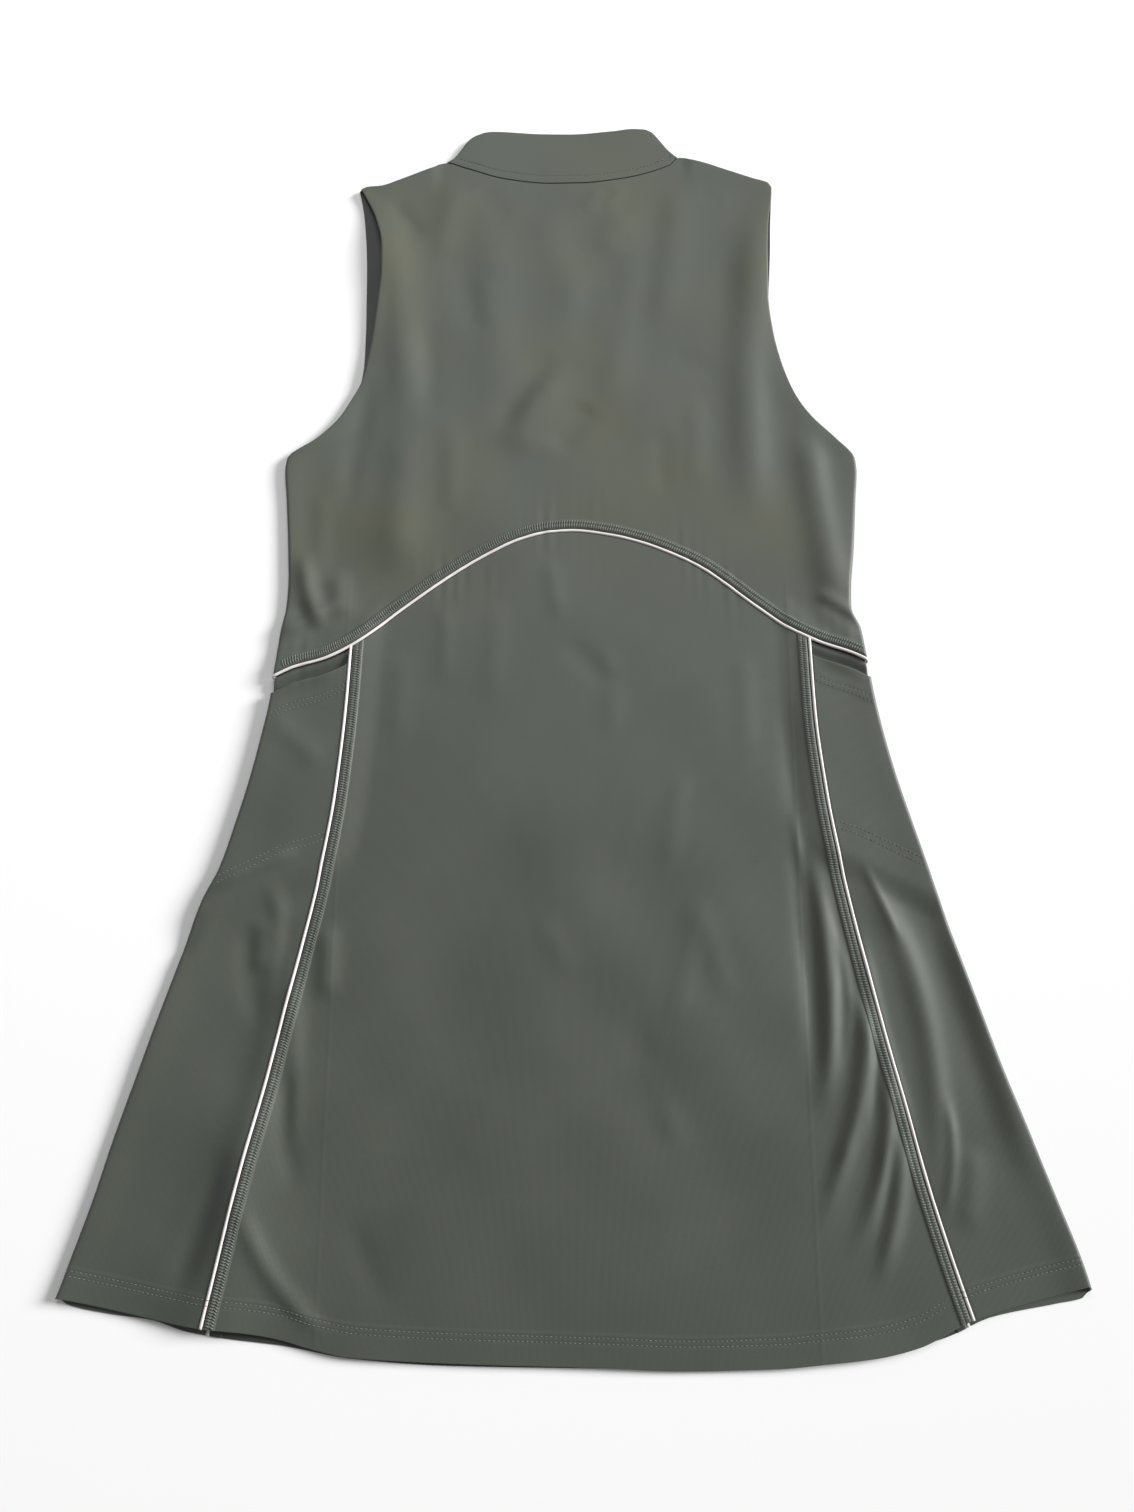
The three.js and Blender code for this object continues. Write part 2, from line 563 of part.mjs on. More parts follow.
// A side panel wraps round the side of the dress from a back seam to a front seam. The inset puts a
// second panel inside the first.
function sidePanel({ side, seamBack, seamFront, mouthBack, mouthFront, hemBack, hemFront, rows, inset }) {
  const silhouette = side < 0 ? backLeft : backRight;
  const fold = (y) => silhouette(y) - side * EDGE_RADIUS;
  const grid = [];
  const upper = stations(SIDE_COLUMNS);
  const lower = stations(LOWER_SIDE_COLUMNS);
  const ends = (share, inner, topCurve, bottomCurve) => [
    meet(topCurve, inner, fold, share),
    meet(bottomCurve, inner, fold, share),
  ];
  const column = ([top, bottom], place) => {
    grid.push(stations(rows).map((share) => place(lerp(top, bottom, share))));
  };
  for (const share of upper) {
    column(ends(share, seamBack, mouthBack, hemBack), (y) => {
      const x = lerp(seamBack(y), fold(y), share);
      return new THREE.Vector3(x, y, backHeight(x, y) - inset);
    });
  }
  const backEnds = ends(1, seamBack, mouthBack, hemBack);
  const frontEnds = ends(1, seamFront, mouthFront, hemFront);
  for (let i = 1; i < ARC_STEPS; i += 1) {
    const angle = lerp(QUARTER, -QUARTER, i / ARC_STEPS);
    const share = i / ARC_STEPS;
    column(backEnds.map((end, k) => lerp(end, frontEnds[k], share)), (y) => {
      const radius = backHeight(fold(y), y) / 2;
      const x = fold(y) + side * (EDGE_RADIUS - inset) * Math.cos(angle);
      return new THREE.Vector3(x, y, radius + (radius - inset) * Math.sin(angle));
    });
  }
  for (const share of [...lower].reverse()) {
    column(ends(share, seamFront, mouthFront, hemFront), (y) => (
      new THREE.Vector3(lerp(seamFront(y), fold(y), share), y, inset)
    ));
  }
  return wall(grid, { faceUp: true, column: 0 });
}

// The collar is a ring pressed flat: its back half lies up, its front half lies lower down the neck.
function collarRing(upper, lower) {
  const rows = stations(COLLAR_ROWS);
  const seam = moved(backTop, SEAM_GAP / 2);
  const grid = [];
  const column = (share, drop, place) => {
    const low = meet(seam, collarLeft, collarRight, share);
    const high = meet(collarTop, collarLeft, collarRight, share);
    grid.push(rows.map((row) => {
      const y = lerp(low, high, row);
      const x = lerp(collarLeft(y) + EDGE_RADIUS, collarRight(y) - EDGE_RADIUS, share);
      return place(x, y, y - drop);
    }));
  };
  for (const share of upper) {
    column(share, 0, (x, y) => new THREE.Vector3(x, y, backHeight(x, y)));
  }
  const foldOver = (share, side) => {
    for (let i = 1; i < ARC_STEPS; i += 1) {
      const angle = side * lerp(QUARTER, -QUARTER, i / ARC_STEPS);
      column(share, 0, (x, y) => {
        const radius = backHeight(x, y) / 2;
        const out = side * EDGE_RADIUS * Math.cos(angle);
        return new THREE.Vector3(x + out, y, radius * (1 + Math.sin(angle)));
      });
    }
  };
  foldOver(1, 1);
  for (const share of [...lower].reverse()) {
    column(share, neckDrop(share), (x, y, lowered) => new THREE.Vector3(x, lowered, 0));
  }
  foldOver(0, -1);
  return wall(grid, { faceUp: true, column: Math.floor(upper.length / 2), ring: true });
}

// Places across the waist that the panels above and below it share with its piping.
const waistFrom = backLeft(WAIST_LEFT.y) + EDGE_RADIUS;
const waistTo = backRight(WAIST_RIGHT.y) - EDGE_RADIUS;
const WAIST_PLACES = stations(WAIST_STEPS).map((share) => lerp(waistFrom, waistTo, share));
const FRONT_PLACES = stations(FRONT_STEPS).map((share) => lerp(waistFrom, waistTo, share));

// A corded strip along a path of stations, each with its centre, its outward direction and its half
// height.
function cord(path, closed) {
  const count = path.length;
  const wrap = (i) => (closed ? (i + count) % count : clamp(i, 0, count - 1));
  const positions = [];
  path.forEach(({ centre, outward, half }, i) => {
    const forward = new THREE.Vector3().subVectors(path[wrap(i + 1)].centre, path[wrap(i - 1)].centre);
    const sideways = new THREE.Vector3().crossVectors(forward, outward).normalize();
    for (let k = 0; k < PIPING_SIDES; k += 1) {
      const angle = (k / PIPING_SIDES) * 2 * Math.PI;
      const flat = Math.cos(Math.PI / PIPING_SIDES);
      positions.push(...centre.clone()
        .addScaledVector(sideways, PIPING_RADIUS * Math.cos(angle))
        .addScaledVector(outward, (half * Math.sin(angle)) / flat)
        .toArray());
    }
  });
  const at = (i, k) => wrap(i) * PIPING_SIDES + ((k + PIPING_SIDES) % PIPING_SIDES);
  const index = [];
  for (let i = 0; i < (closed ? count : count - 1); i += 1) {
    for (let k = 0; k < PIPING_SIDES; k += 1) {
      index.push(at(i, k), at(i + 1, k + 1), at(i, k + 1));
      index.push(at(i, k), at(i + 1, k), at(i + 1, k + 1));
    }
  }
  if (!closed) {
    for (let k = 1; k < PIPING_SIDES - 1; k += 1) {
      index.push(at(0, 0), at(0, k), at(0, k + 1));
      index.push(at(count - 1, 0), at(count - 1, k + 1), at(count - 1, k));
    }
  }
  const geometry = new THREE.BufferGeometry();
  geometry.setAttribute('position', new THREE.Float32BufferAttribute(positions, 3));
  geometry.setIndex(index);
  return geometry;
}

const UP = new THREE.Vector3(0, 0, 1);
const DOWN = new THREE.Vector3(0, 0, -1);
const onBack = (x, y) => ({
  centre: new THREE.Vector3(x, y, backHeight(x, y) - PIPING_SINK),
  outward: UP,
  half: PIPING_RADIUS,
});
const onFront = (x, y) => ({
  centre: new THREE.Vector3(x, y, WALL / 2),
  outward: DOWN,
  half: WALL / 2,
});

// The waist piping runs over the back, round the right side, along the front and round the left side.
function waistPiping() {
  const path = WAIST_PLACES.map((x) => onBack(x, arch(x)));
  const foldOver = (x, side, from, to) => {
    const radius = backHeight(x, arch(x)) / 2;
    for (let i = 1; i < ARC_STEPS; i += 1) {
      const angle = lerp(from, to, i / ARC_STEPS);
      const front = (1 - Math.sin(angle)) / 2;
      const sink = lerp(PIPING_SINK, WALL / 2, front);
      const onEdge = x + side * EDGE_RADIUS * Math.cos(angle);
      path.push({
        centre: new THREE.Vector3(
          onEdge - side * sink * Math.cos(angle),
          lerp(arch(onEdge), frontWaist(onEdge), smooth(front)),
          radius + (radius - sink) * Math.sin(angle),
        ),
        outward: new THREE.Vector3(side * Math.cos(angle), 0, Math.sin(angle)),
        half: lerp(PIPING_RADIUS, WALL / 2, front),
      });
    }
  };
  foldOver(WAIST_PLACES[WAIST_PLACES.length - 1], 1, QUARTER, -QUARTER);
  for (const x of [...FRONT_PLACES].reverse()) path.push(onFront(x, frontWaist(x)));
  foldOver(WAIST_PLACES[0], -1, -QUARTER, QUARTER);
  return cord(path, true);
}

// Piping down a vertical seam, from below the waist seam to the hem.
function seamPiping({ seam, waist, hem, place, count }) {
  const top = meet(moved(waist, -SEAM_INSET - PIPING_END_GAP), seam, seam, 0);
  const bottom = meet(hem, seam, seam, 0);
  return cord(stations([{ to: 1, count }]).map((share) => {
    const y = lerp(top, bottom, share);
    return place(seam(y), y);
  }), false);
}

// The sides curl through a quarter turn up to the armholes, which lie open.
const sideCurl = (y) => lerp(QUARTER, OPEN_EDGE_CURL, smooth((y - UNDERARM) / UNDERARM_LENGTH));
const shoulderCurl = (x) => lerp(SEAM_CURL, QUARTER, shoulderShare(x));

const cloth = { color: 0x5a5e56, roughness: 0.75, metalness: 0 };
const darkCloth = { color: 0x4a4d47, roughness: 0.8, metalness: 0 };
const white = { color: 0xe8e2de, roughness: 0.55, metalness: 0 };

const dress = new THREE.Group();
dress.name = 'piped_dress';

function add(name, geometry, finish) {
  const mesh = new THREE.Mesh(geometry, new THREE.MeshStandardMaterial(finish));
  mesh.name = name;
  dress.add(mesh);
}

const backShares = stations(WAIST_STEPS);
add('back_bodice', layerPanel({
  left: backLeft,
  right: backRight,
  bottom: moved(arch, SEAM_INSET),
  top: moved(backTop, -SEAM_GAP / 2),
  columns: backShares,
  rows: BODICE_ROWS,
  back: true,
  curls: { left: sideCurl, right: sideCurl, top: shoulderCurl },
}), cloth);

const frontShares = stations(FRONT_STEPS);
add('front_bodice', layerPanel({
  left: frontLeft,
  right: frontRight,
  bottom: moved(frontWaist, FRONT_BODICE_INSET),
  top: moved(frontTop, -SEAM_GAP / 2),
  columns: frontShares,
  rows: FRONT_ROWS,
  back: false,
  curls: { left: sideCurl, right: sideCurl, top: shoulderCurl },
}), cloth);

// The collar's columns meet those of the panels at the neck seam.
const collarShares = (shares, left, right, top) => {
  const places = shares.map((share) => {
    const y = meet(top, left, right, share);
    return lerp(left(y), right(y), share);
  });
  return sharesAt(places, () => NECK_LEFT + EDGE_RADIUS, () => NECK_RIGHT - EDGE_RADIUS, top);
};
add('collar', collarRing(
  collarShares(backShares, backLeft, backRight, backTop),
  collarShares(frontShares, frontLeft, frontRight, frontTop),
), cloth);

const skirtSides = [moved(backSeamLeft, SEAM_INSET), moved(backSeamRight, -SEAM_INSET)];
add('back_skirt', layerPanel({
  left: skirtSides[0],
  right: skirtSides[1],
  bottom: backHem,
  top: moved(arch, -SEAM_INSET),
  columns: sharesAt(WAIST_PLACES, ...skirtSides, moved(arch, -SEAM_INSET)),
  rows: SKIRT_ROWS,
  back: true,
  curls: {},
}), cloth);

const frontSkirtSides = [moved(frontSeamLeft, SEAM_INSET), moved(frontSeamRight, -SEAM_INSET)];
add('front_skirt', layerPanel({
  left: frontSkirtSides[0],
  right: frontSkirtSides[1],
  bottom: frontHem,
  top: moved(frontWaist, -SEAM_INSET),
  columns: sharesAt(FRONT_PLACES, ...frontSkirtSides, moved(frontWaist, -SEAM_INSET)),
  rows: [{ to: 1, count: FRONT_SKIRT_ROWS }],
  back: false,
  curls: {},
}), cloth);

for (const { name, side, seamBack, seamFront } of [
  { name: 'left', side: -1, seamBack: backSeamLeft, seamFront: frontSeamLeft },
  { name: 'right', side: 1, seamBack: backSeamRight, seamFront: frontSeamRight },
]) {
  const seams = {
    side,
    seamBack: moved(seamBack, side * SEAM_INSET),
    seamFront: moved(seamFront, side * SEAM_INSET),
  };
  add(`side_panel_${name}`, sidePanel({
    ...seams,
    mouthBack: (x) => arch(x) - POCKET_MOUTH_DROP,
    mouthFront: (x) => frontWaist(x) - POCKET_MOUTH_DROP,
    hemBack: backHem,
    hemFront: frontHem,
    rows: SIDE_ROWS,
    inset: 0,
  }), cloth);
  add(`pocket_backing_${name}`, sidePanel({
    ...seams,
    mouthBack: moved(arch, -SEAM_INSET),
    mouthFront: moved(frontWaist, -SEAM_INSET),
    hemBack: (x) => arch(x) - POCKET_DEPTH,
    hemFront: (x) => frontWaist(x) - POCKET_DEPTH,
    rows: BACKING_ROWS,
    inset: WALL + POCKET_GAP,
  }), darkCloth);
  add(`back_piping_${name}`, seamPiping({
    seam: seamBack, waist: arch, hem: backHem, place: onBack, count: BACK_PIPING_STEPS,
  }), white);
  add(`front_piping_${name}`, seamPiping({
    seam: seamFront, waist: frontWaist, hem: frontHem, place: onFront, count: FRONT_SKIRT_ROWS,
  }), white);
}

add('waist_piping', waistPiping(), white);

export default dress;
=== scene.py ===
"""A sleeveless dress with a stand collar and corded seams, laid flat with its back up.

Sizes and places are in millimetres and become metres when a mesh is made. +X is to the right, +Y
towards the collar and +Z up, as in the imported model.
"""

import math
from collections import namedtuple

import bpy
import numpy as np
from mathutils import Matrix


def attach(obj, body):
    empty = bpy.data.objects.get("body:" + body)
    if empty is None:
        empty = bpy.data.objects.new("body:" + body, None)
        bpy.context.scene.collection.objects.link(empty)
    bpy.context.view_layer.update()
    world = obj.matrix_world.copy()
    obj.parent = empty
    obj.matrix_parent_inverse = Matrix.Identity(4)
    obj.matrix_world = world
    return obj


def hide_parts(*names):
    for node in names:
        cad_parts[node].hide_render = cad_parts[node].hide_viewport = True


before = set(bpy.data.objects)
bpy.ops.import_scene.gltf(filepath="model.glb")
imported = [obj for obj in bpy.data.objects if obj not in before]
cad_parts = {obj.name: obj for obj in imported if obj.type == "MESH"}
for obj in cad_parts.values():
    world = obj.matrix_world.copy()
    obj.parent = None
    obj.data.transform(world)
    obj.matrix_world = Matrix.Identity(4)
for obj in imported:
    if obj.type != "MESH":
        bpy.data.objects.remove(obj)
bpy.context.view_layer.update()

MM = 0.001

# Cloth
WALL = 1.0
RIM = WALL / 2
RIM_STEPS = 3
SEAM_GAP = 0.3
SIDE_SEAM_GAP = 0.4
LAYER_GAP = 0.3
STACK = WALL + LAYER_GAP + WALL

# How the back lies on the front
AIR = 1.4
EDGE_RADIUS = 2.7
EDGE_LIFT = 1.9
EDGE_WIDTH = 16
POCKET_LIFT = 3.2
POCKET_GAP = 0.6
CONTACT_SOFTNESS = 0.8
UNDULATION = 0.5
PUCKER = 0.2
PUCKER_REACH = 24
PUCKER_LENGTHS = (8.6, 11.3, 14.9)
PATCH_SHIFT = 0.6
PATCH_RANGE = 1.6

# Piping in the seams
PIPING_RADIUS = 1.1
PIPING_SINK = 0.15
PIPING_SIDES = 14
PIPING_STEP = 1.6
PIPING_UNEVEN = 0.03
SEAM_INSET = PIPING_RADIUS + SEAM_GAP
FRONT_BODICE_INSET = SEAM_INSET + 0.25

# Cut of the hidden front
FRONT_NECK_DROP = 38
FRONT_WAIST_RISE = 16
FRONT_SEAM_SHIFT = 4
DROP_SHARPNESS = 2.4

# Pockets
POCKET_MOUTH_DROP = 13
POCKET_DEPTH = 136
POCKET_SPREAD = 26
POCKET_SLOPE = 22
POCKET_TAUTNESS = 0.45
POCKET_DIP = 1.5
POCKET_DIP_START = 5
POCKET_BULGE = 0.5
POCKET_BULGE_PLACE = 5.5
POCKET_BULGE_WIDTH = 2.6
GAPE = 1.3
GAPE_ENDS = 20
GAPE_DEPTH = 5

# Sewing
BAND_START = 1.9
BAND_END = 8.5
BAND_MIDDLE = 5.75
BAND_END_GAP = 9
BAND_LIFT = 0.55
BAND_RISE = 0.9
BAND_FALL = 0.7
BAND_DENT = 0.25
BAND_DENT_WIDTH = 0.4
BAND_SEAM_END_GAP = 2
STITCH_PITCH = 1.81
THREAD_RADIUS = 0.34
THREAD_SIDES = 5
THREAD_TAPER = 0.45
THREAD_PRESSED = 0.5
HEM_DEPTH = 18.0
HEM_ROW_GAP = 3.4
HEM_LIFT = 0.2
HEM_EDGE = 3.4
HEM_SLOPE = 1.6
MOUTH_HEM_DEPTH = 15.0
MOUTH_ROW_GAP = 4.0
MOUTH_EDGE = 2
BAG_ROWS = (133.0, 138.0)
NECK_ROW = 7.0
NECK_ROW_END_GAP = 12
NECK_TAPE = 0.3
NECK_TAPE_SLOPE = 0.8
NECK_DENT = 0.3
NECK_DENT_WIDTH = 0.6
ROW_STITCH = 2.2
ROW_PITCH = 3.1
ROW_GROOVE = 0.13
ROW_GROOVE_WIDTH = 0.8
ROW_BAND_GAP = 2
ROW_SEAM_GAP = 1
FRONT_ROW_ENDS = (-225, 240)

# How borders turn over, and the grids
QUARTER = math.pi / 2
OPEN_EDGE_CURL = 0.42
SEAM_CURL = 0.3
SHOULDER_START = 12
UNDERARM = 160
UNDERARM_LENGTH = 22
MEETING_ROUNDS = 12
ARC_STEPS = 12
ROLL_STEPS = 8
PLACE_STEPS = 4000
MOST_SPREAD = 2
SIDE_SEARCH = 40


def table(columns, rows):
    """Rows of numbers as one array for each named column."""
    return dict(zip(columns.split(), np.array(rows, dtype=float).T))


# The outline below the armholes.
TRUNK = table("y left right", [
    (-431, -340.4, 341.6),
    (-425, -338.4, 340.4),
    (-408, -333.3, 336.1),
    (-370, -321.7, 323.3),
    (-332, -311.9, 310.2),
    (-293, -300.4, 296.8),
    (-253, -288.7, 284.4),
    (-212, -276.0, 271.8),
    (-170, -263.0, 259.6),
    (-158, -257.2, 256.2),
    (-149, -253.2, 253.8),
    (-113, -243.0, 243.7),
    (-83, -235.5, 235.6),
    (-53, -229.5, 228.8),
    (-23, -224.4, 223.4),
    (0, -222.6, 220.4),
    (16, -221.1, 218.4),
    (32, -219.4, 216.3),
    (48, -216.6, 210.0),
    (64, -216.0, 210.7),
    (96, -217.8, 214.5),
    (138, -221.4, 218.4),
    (163, -223.8, 220.7),
])

# The armhole edges of the back and of the front.
ARMHOLES = table("y back_left front_left back_right front_right", [
    (171, -222.9, -222.9, 220.0, 220.0),
    (189, -199.6, -199.6, 205.4, 205.4),
    (206, -184.0, -184.0, 189.0, 189.0),
    (223, -174.5, -174.5, 178.0, 178.0),
    (238, -167.5, -168.8, 171.6, 171.9),
    (259, -163.0, -166.6, 165.4, 166.1),
    (282, -159.8, -166.6, 160.9, 162.1),
    (313, -157.0, -167.3, 158.0, 159.2),
    (336, -155.2, -167.9, 158.5, 160.7),
    (358, -155.6, -169.0, 159.2, 162.3),
    (386, -161.8, -171.6, 161.3, 163.6),
    (403, -168.8, -174.2, 164.1, 164.9),
    (419, -177.3, -177.9, 165.5, 165.8),
])

# The top of the back bodice, with the neck seam between its two corners.
NECK_LEFT = -106
NECK_RIGHT = 88.5
SHOULDERS_AND_NECK = table("x y", [
    (-178.0, 414.5),
    (-170.0, 418.9),
    (-159.3, 420.0),
    (-144.4, 425.7),
    (-119.0, 436.6),
    (NECK_LEFT, 441.2),
    (-88.0, 435.7),
    (-56.8, 426.5),
    (-15.4, 422.0),
    (5.2, 422.0),
    (41.9, 426.9),
    (80.3, 439.5),
    (NECK_RIGHT, 447.4),
    (105.1, 443.8),
    (128.3, 435.2),
    (151.2, 426.5),
    (162.3, 422.6),
    (166.0, 417.0),
])

# The collar's two slanted fold edges and its top edge.
COLLAR_LEFT = table("y x", [
    (441.2, -106.0),
    (446.4, -99.5),
    (454.6, -93.6),
    (461.6, -89.4),
    (467.2, -83.9),
    (470.6, -76.7),
])
COLLAR_RIGHT = table("y x", [
    (447.4, 88.5),
    (454.9, 80.6),
    (465.3, 72.8),
    (472.0, 67.3),
    (474.4, 62.5),
])
COLLAR_TOP = table("x y", [
    (-77.0, 470.6),
    (-65.5, 472.3),
    (-25.2, 470.6),
    (-2.7, 470.6),
    (32.7, 473.2),
    (50.0, 475.2),
    (63.4, 474.4),
])

# The arched waist seam of the back.
ARCH = table("x y", [
    (-223.0, -6.6),
    (-207.2, 1.1),
    (-185.2, 7.8),
    (-163.3, 19.5),
    (-130.5, 46.4),
    (-86.0, 79.4),
    (-63.4, 93.0),
    (-40.6, 104.0),
    (-17.6, 110.2),
    (0.0, 111.4),
    (28.4, 107.9),
    (51.3, 102.0),
    (74.1, 93.0),
    (96.7, 81.5),
    (141.1, 47.6),
    (162.9, 31.6),
    (184.9, 20.6),
    (207.0, 12.6),
    (221.0, 5.6),
])

# The two vertical seams of the back skirt.
BACK_SEAMS = table("y left right", [
    (-448, -242.6, 262.4),
    (-414, -235.6, 252.0),
    (-365, -225.7, 238.6),
    (-313, -214.2, 226.3),
    (-261, -203.0, 214.4),
    (-206, -191.5, 202.7),
    (-150, -180.6, 191.8),
    (-92, -172.3, 183.1),
    (-31, -167.7, 177.8),
    (22, -165.6, 176.5),
])

# The hem edges of the back and of the front.
BACK_HEM = table("x y", [
    (-340.0, -431.0),
    (-305.7, -438.0),
    (-254.8, -447.6),
    (-217.0, -452.3),
    (-191.8, -456.8),
    (-172.8, -461.9),
    (-145.4, -467.2),
    (-80.4, -470.7),
    (18.8, -473.4),
    (74.0, -475.4),
    (131.5, -474.0),
    (166.0, -471.0),
    (198.0, -467.6),
    (225.0, -461.6),
    (261.4, -445.0),
    (301.9, -433.4),
    (342.0, -423.4),
])
FRONT_HEM = table("x y", [
    (-340.0, -431.6),
    (-333.6, -436.0),
    (-305.5, -441.6),
    (-277.6, -445.4),
    (-254.5, -452.3),
    (-229.2, -456.4),
    (-191.6, -460.6),
    (-145.4, -468.6),
    (-80.4, -472.8),
    (18.8, -474.4),
    (74.0, -475.2),
    (131.5, -473.6),
    (198.0, -467.0),
    (242.0, -456.5),
    (274.6, -443.6),
    (319.2, -435.2),
    (335.0, -432.2),
    (342.0, -424.4),
])

# Folds of the back layer, in the same places as the solids' folds. Each runs from one point past
# another to a third, with a half width and a height, positive for a ridge and negative for a trough.
Fold = namedtuple("Fold", "start past end width height")
FOLDS = [Fold(*row) for row in [
    ((-166, 412), (-134, 330), (-130, 190), 17, 4.2),
    ((-130, 220), (-134, 130), (-133, 66), 17, 2.4),
    ((-170, 404), (-148, 340), (-164, 262), 7, 1.6),
    ((-151, 403), (-140, 388), (-122, 368), 8, -1.4),
    ((-91, 425), (-107, 388), (-106, 344), 12, 1.3),
    ((-78, 420), (-66, 404), (-52, 384), 9, -0.6),
    ((-94, 362), (-90, 310), (-70, 278), 12, -0.7),
    ((-70, 338), (-72, 310), (-66, 282), 11, 0.8),
    ((2, 256), (-42, 214), (-45, 166), 14, 1.8),
    ((-12, 266), (-40, 238), (-62, 190), 12, -1.6),
    ((16, 220), (0, 200), (-16, 176), 10, -1.6),
    ((24, 417), (18, 406), (8, 392), 7, 0.6),
    ((43, 419), (36, 408), (24, 396), 7, 0.6),
    ((44, 398), (34, 376), (24, 350), 13, 1.1),
    ((69, 424), (66, 350), (46, 270), 12, -0.8),
    ((83, 428), (94, 360), (58, 262), 14, 1.4),
    ((74, 262), (96, 254), (120, 240), 9, -0.5),
    ((156, 425), (132, 250), (140, 105), 16, 4.4),
    ((178, 218), (190, 136), (199, 23), 13, 4.0),
    ((176, 48), (198, 38), (214, 22), 8, 1.8),
    ((-214, 56), (-200, 38), (-180, 24), 8, -1.4),
    ((-181, 80), (-176, 60), (-173, 36), 9, 1.8),
    ((159, -126), (168, -200), (168, -306), 7, -2.4),
    ((168, -128), (189, -246), (167, -320), 6.5, 3.1),
    ((194, -230), (218, -275), (160, -396), 5.5, 3.5),
    ((208, -274), (228, -337), (179, -409), 5, 2.8),
    ((217, -320), (230, -367), (196, -429), 5, 2.4),
    ((197, -135), (263, -230), (243, -380), 9, 2.3),
    ((258, -157), (284, -257), (312, -371), 11, 2.5),
    ((201, -185), (208, -249), (234, -358), 5, 1.5),
    ((246, -158), (266, -234), (296, -330), 14, -1.4),
    ((-225, -36), (-204, -52), (-176, -80), 9, 1.6),
    ((-262, -166), (-223, -147), (-193, -134), 5, 3.2),
    ((-216, -180), (-220, -204), (-218, -226), 9, 1.6),
    ((-174, -184), (-171, -214), (-173, -244), 8, 2.4),
    ((-199, -209), (-187, -287), (-192, -365), 6.5, 1.4),
    ((-196, -276), (-198, -326), (-186, -370), 7, -1.8),
    ((-224, -365), (-208, -424), (-156, -456), 6, 2.4),
    ((-234, -336), (-246, -392), (-267, -436), 9, -1.8),
    ((253, -300), (262, -348), (244, -387), 4, 1.3),
    ((-185, -175), (-213, -294), (-240, -439), 13, 2.8),
    ((-222, -150), (-194, -193), (-216, -247), 7, 1.6),
    ((270, -334), (268, -362), (260, -396), 9, 1.2),
    ((-206, 99), (-202, 52), (-184, 23), 7, 2.8),
    ((-224, 28), (-204, 33), (-172, 55), 5, 1.9),
    ((181, 61), (199, 53), (222, 33), 4.5, 1.8),
    ((-210, -290), (-226, -383), (-247, -500), 28, 5.0),
    ((-27, 406), (-12, 353), (10, 285), 16, 1.3),
    ((-85, 396), (-38, 315), (-73, 222), 15, 1.2),
    ((55, 377), (46, 278), (21, 205), 13, 1.2),
]]

# Finer creases of the back layer, in the same columns.
CREASES = [Fold(*row) for row in [
    ((202, -240), (210, -291), (191, -339), 3.2, 0.9),
    ((184, -189), (198, -243), (186, -281), 3.2, 0.8),
    ((211, -317), (210, -364), (191, -402), 3.2, 0.8),
    ((218, -339), (217, -382), (199, -417), 3.2, 0.8),
    ((158, -99), (163, -158), (169, -213), 3.4, 0.9),
    ((204, -141), (218, -169), (231, -206), 3.4, 0.9),
    ((165, -365), (179, -358), (187, -326), 3.2, 0.6),
    ((179, -171), (189, -217), (179, -247), 3, 0.5),
    ((90, -157), (83, -217), (65, -261), 9, 0.8),
    ((46, -274), (56, -304), (78, -346), 9, 0.8),
    ((17, 23), (37, -13), (24, -62), 9, 0.7),
    ((-101, 55), (-91, 27), (-99, -16), 7, 0.6),
    ((-18, 92), (-16, 66), (-8, 34), 7, 0.7),
    ((-12, 26), (14, 4), (38, -20), 9, -0.8),
    ((80, -70), (74, -110), (64, -158), 9, 0.7),
    ((88, -168), (98, -206), (110, -246), 9, 0.7),
    ((38, -248), (50, -290), (66, -326), 10, -0.7),
    ((-26, -180), (-14, -200), (0, -226), 9, 0.6),
    ((104, 416), (112, 408), (124, 400), 7, -0.3),
    ((-228, -184), (-234, -220), (-216, -264), 7, -1.1),
    ((-201, -180), (-204, -208), (-208, -236), 6, -1.0),
    ((-262, -176), (-270, -196), (-276, -216), 6, -1.0),
    ((-120, 300), (-112, 250), (-114, 200), 10, -0.9),
    ((-160, 250), (-170, 190), (-176, 120), 8, -1.1),
    ((-196, 150), (-190, 110), (-196, 60), 9, 0.9),
    ((-98, 210), (-92, 170), (-96, 120), 9, 0.7),
    ((20, 330), (6, 300), (12, 262), 11, -0.8),
    ((96, 232), (100, 190), (92, 140), 9, 0.8),
    ((72, 200), (66, 170), (70, 138), 8, -0.7),
    ((-130, 20), (-126, -20), (-132, -70), 9, 0.6),
    ((-60, 60), (-56, 20), (-62, -30), 9, 0.5),
    ((126, 20), (130, -20), (126, -80), 9, 0.6),
    ((160, -20), (158, -70), (162, -124), 8, -0.8),
    ((-150, -380), (-140, -410), (-120, -440), 8, -0.7),
]]
FOLD_STEPS = 16
FOLD_FADE = 0.3


def lerp(a, b, t):
    return a + (b - a) * t


def smooth(t):
    s = np.clip(t, 0, 1)
    return s * s * (3 - 2 * s)


def bell(distance, width):
    return np.exp(-((distance / width) ** 2))


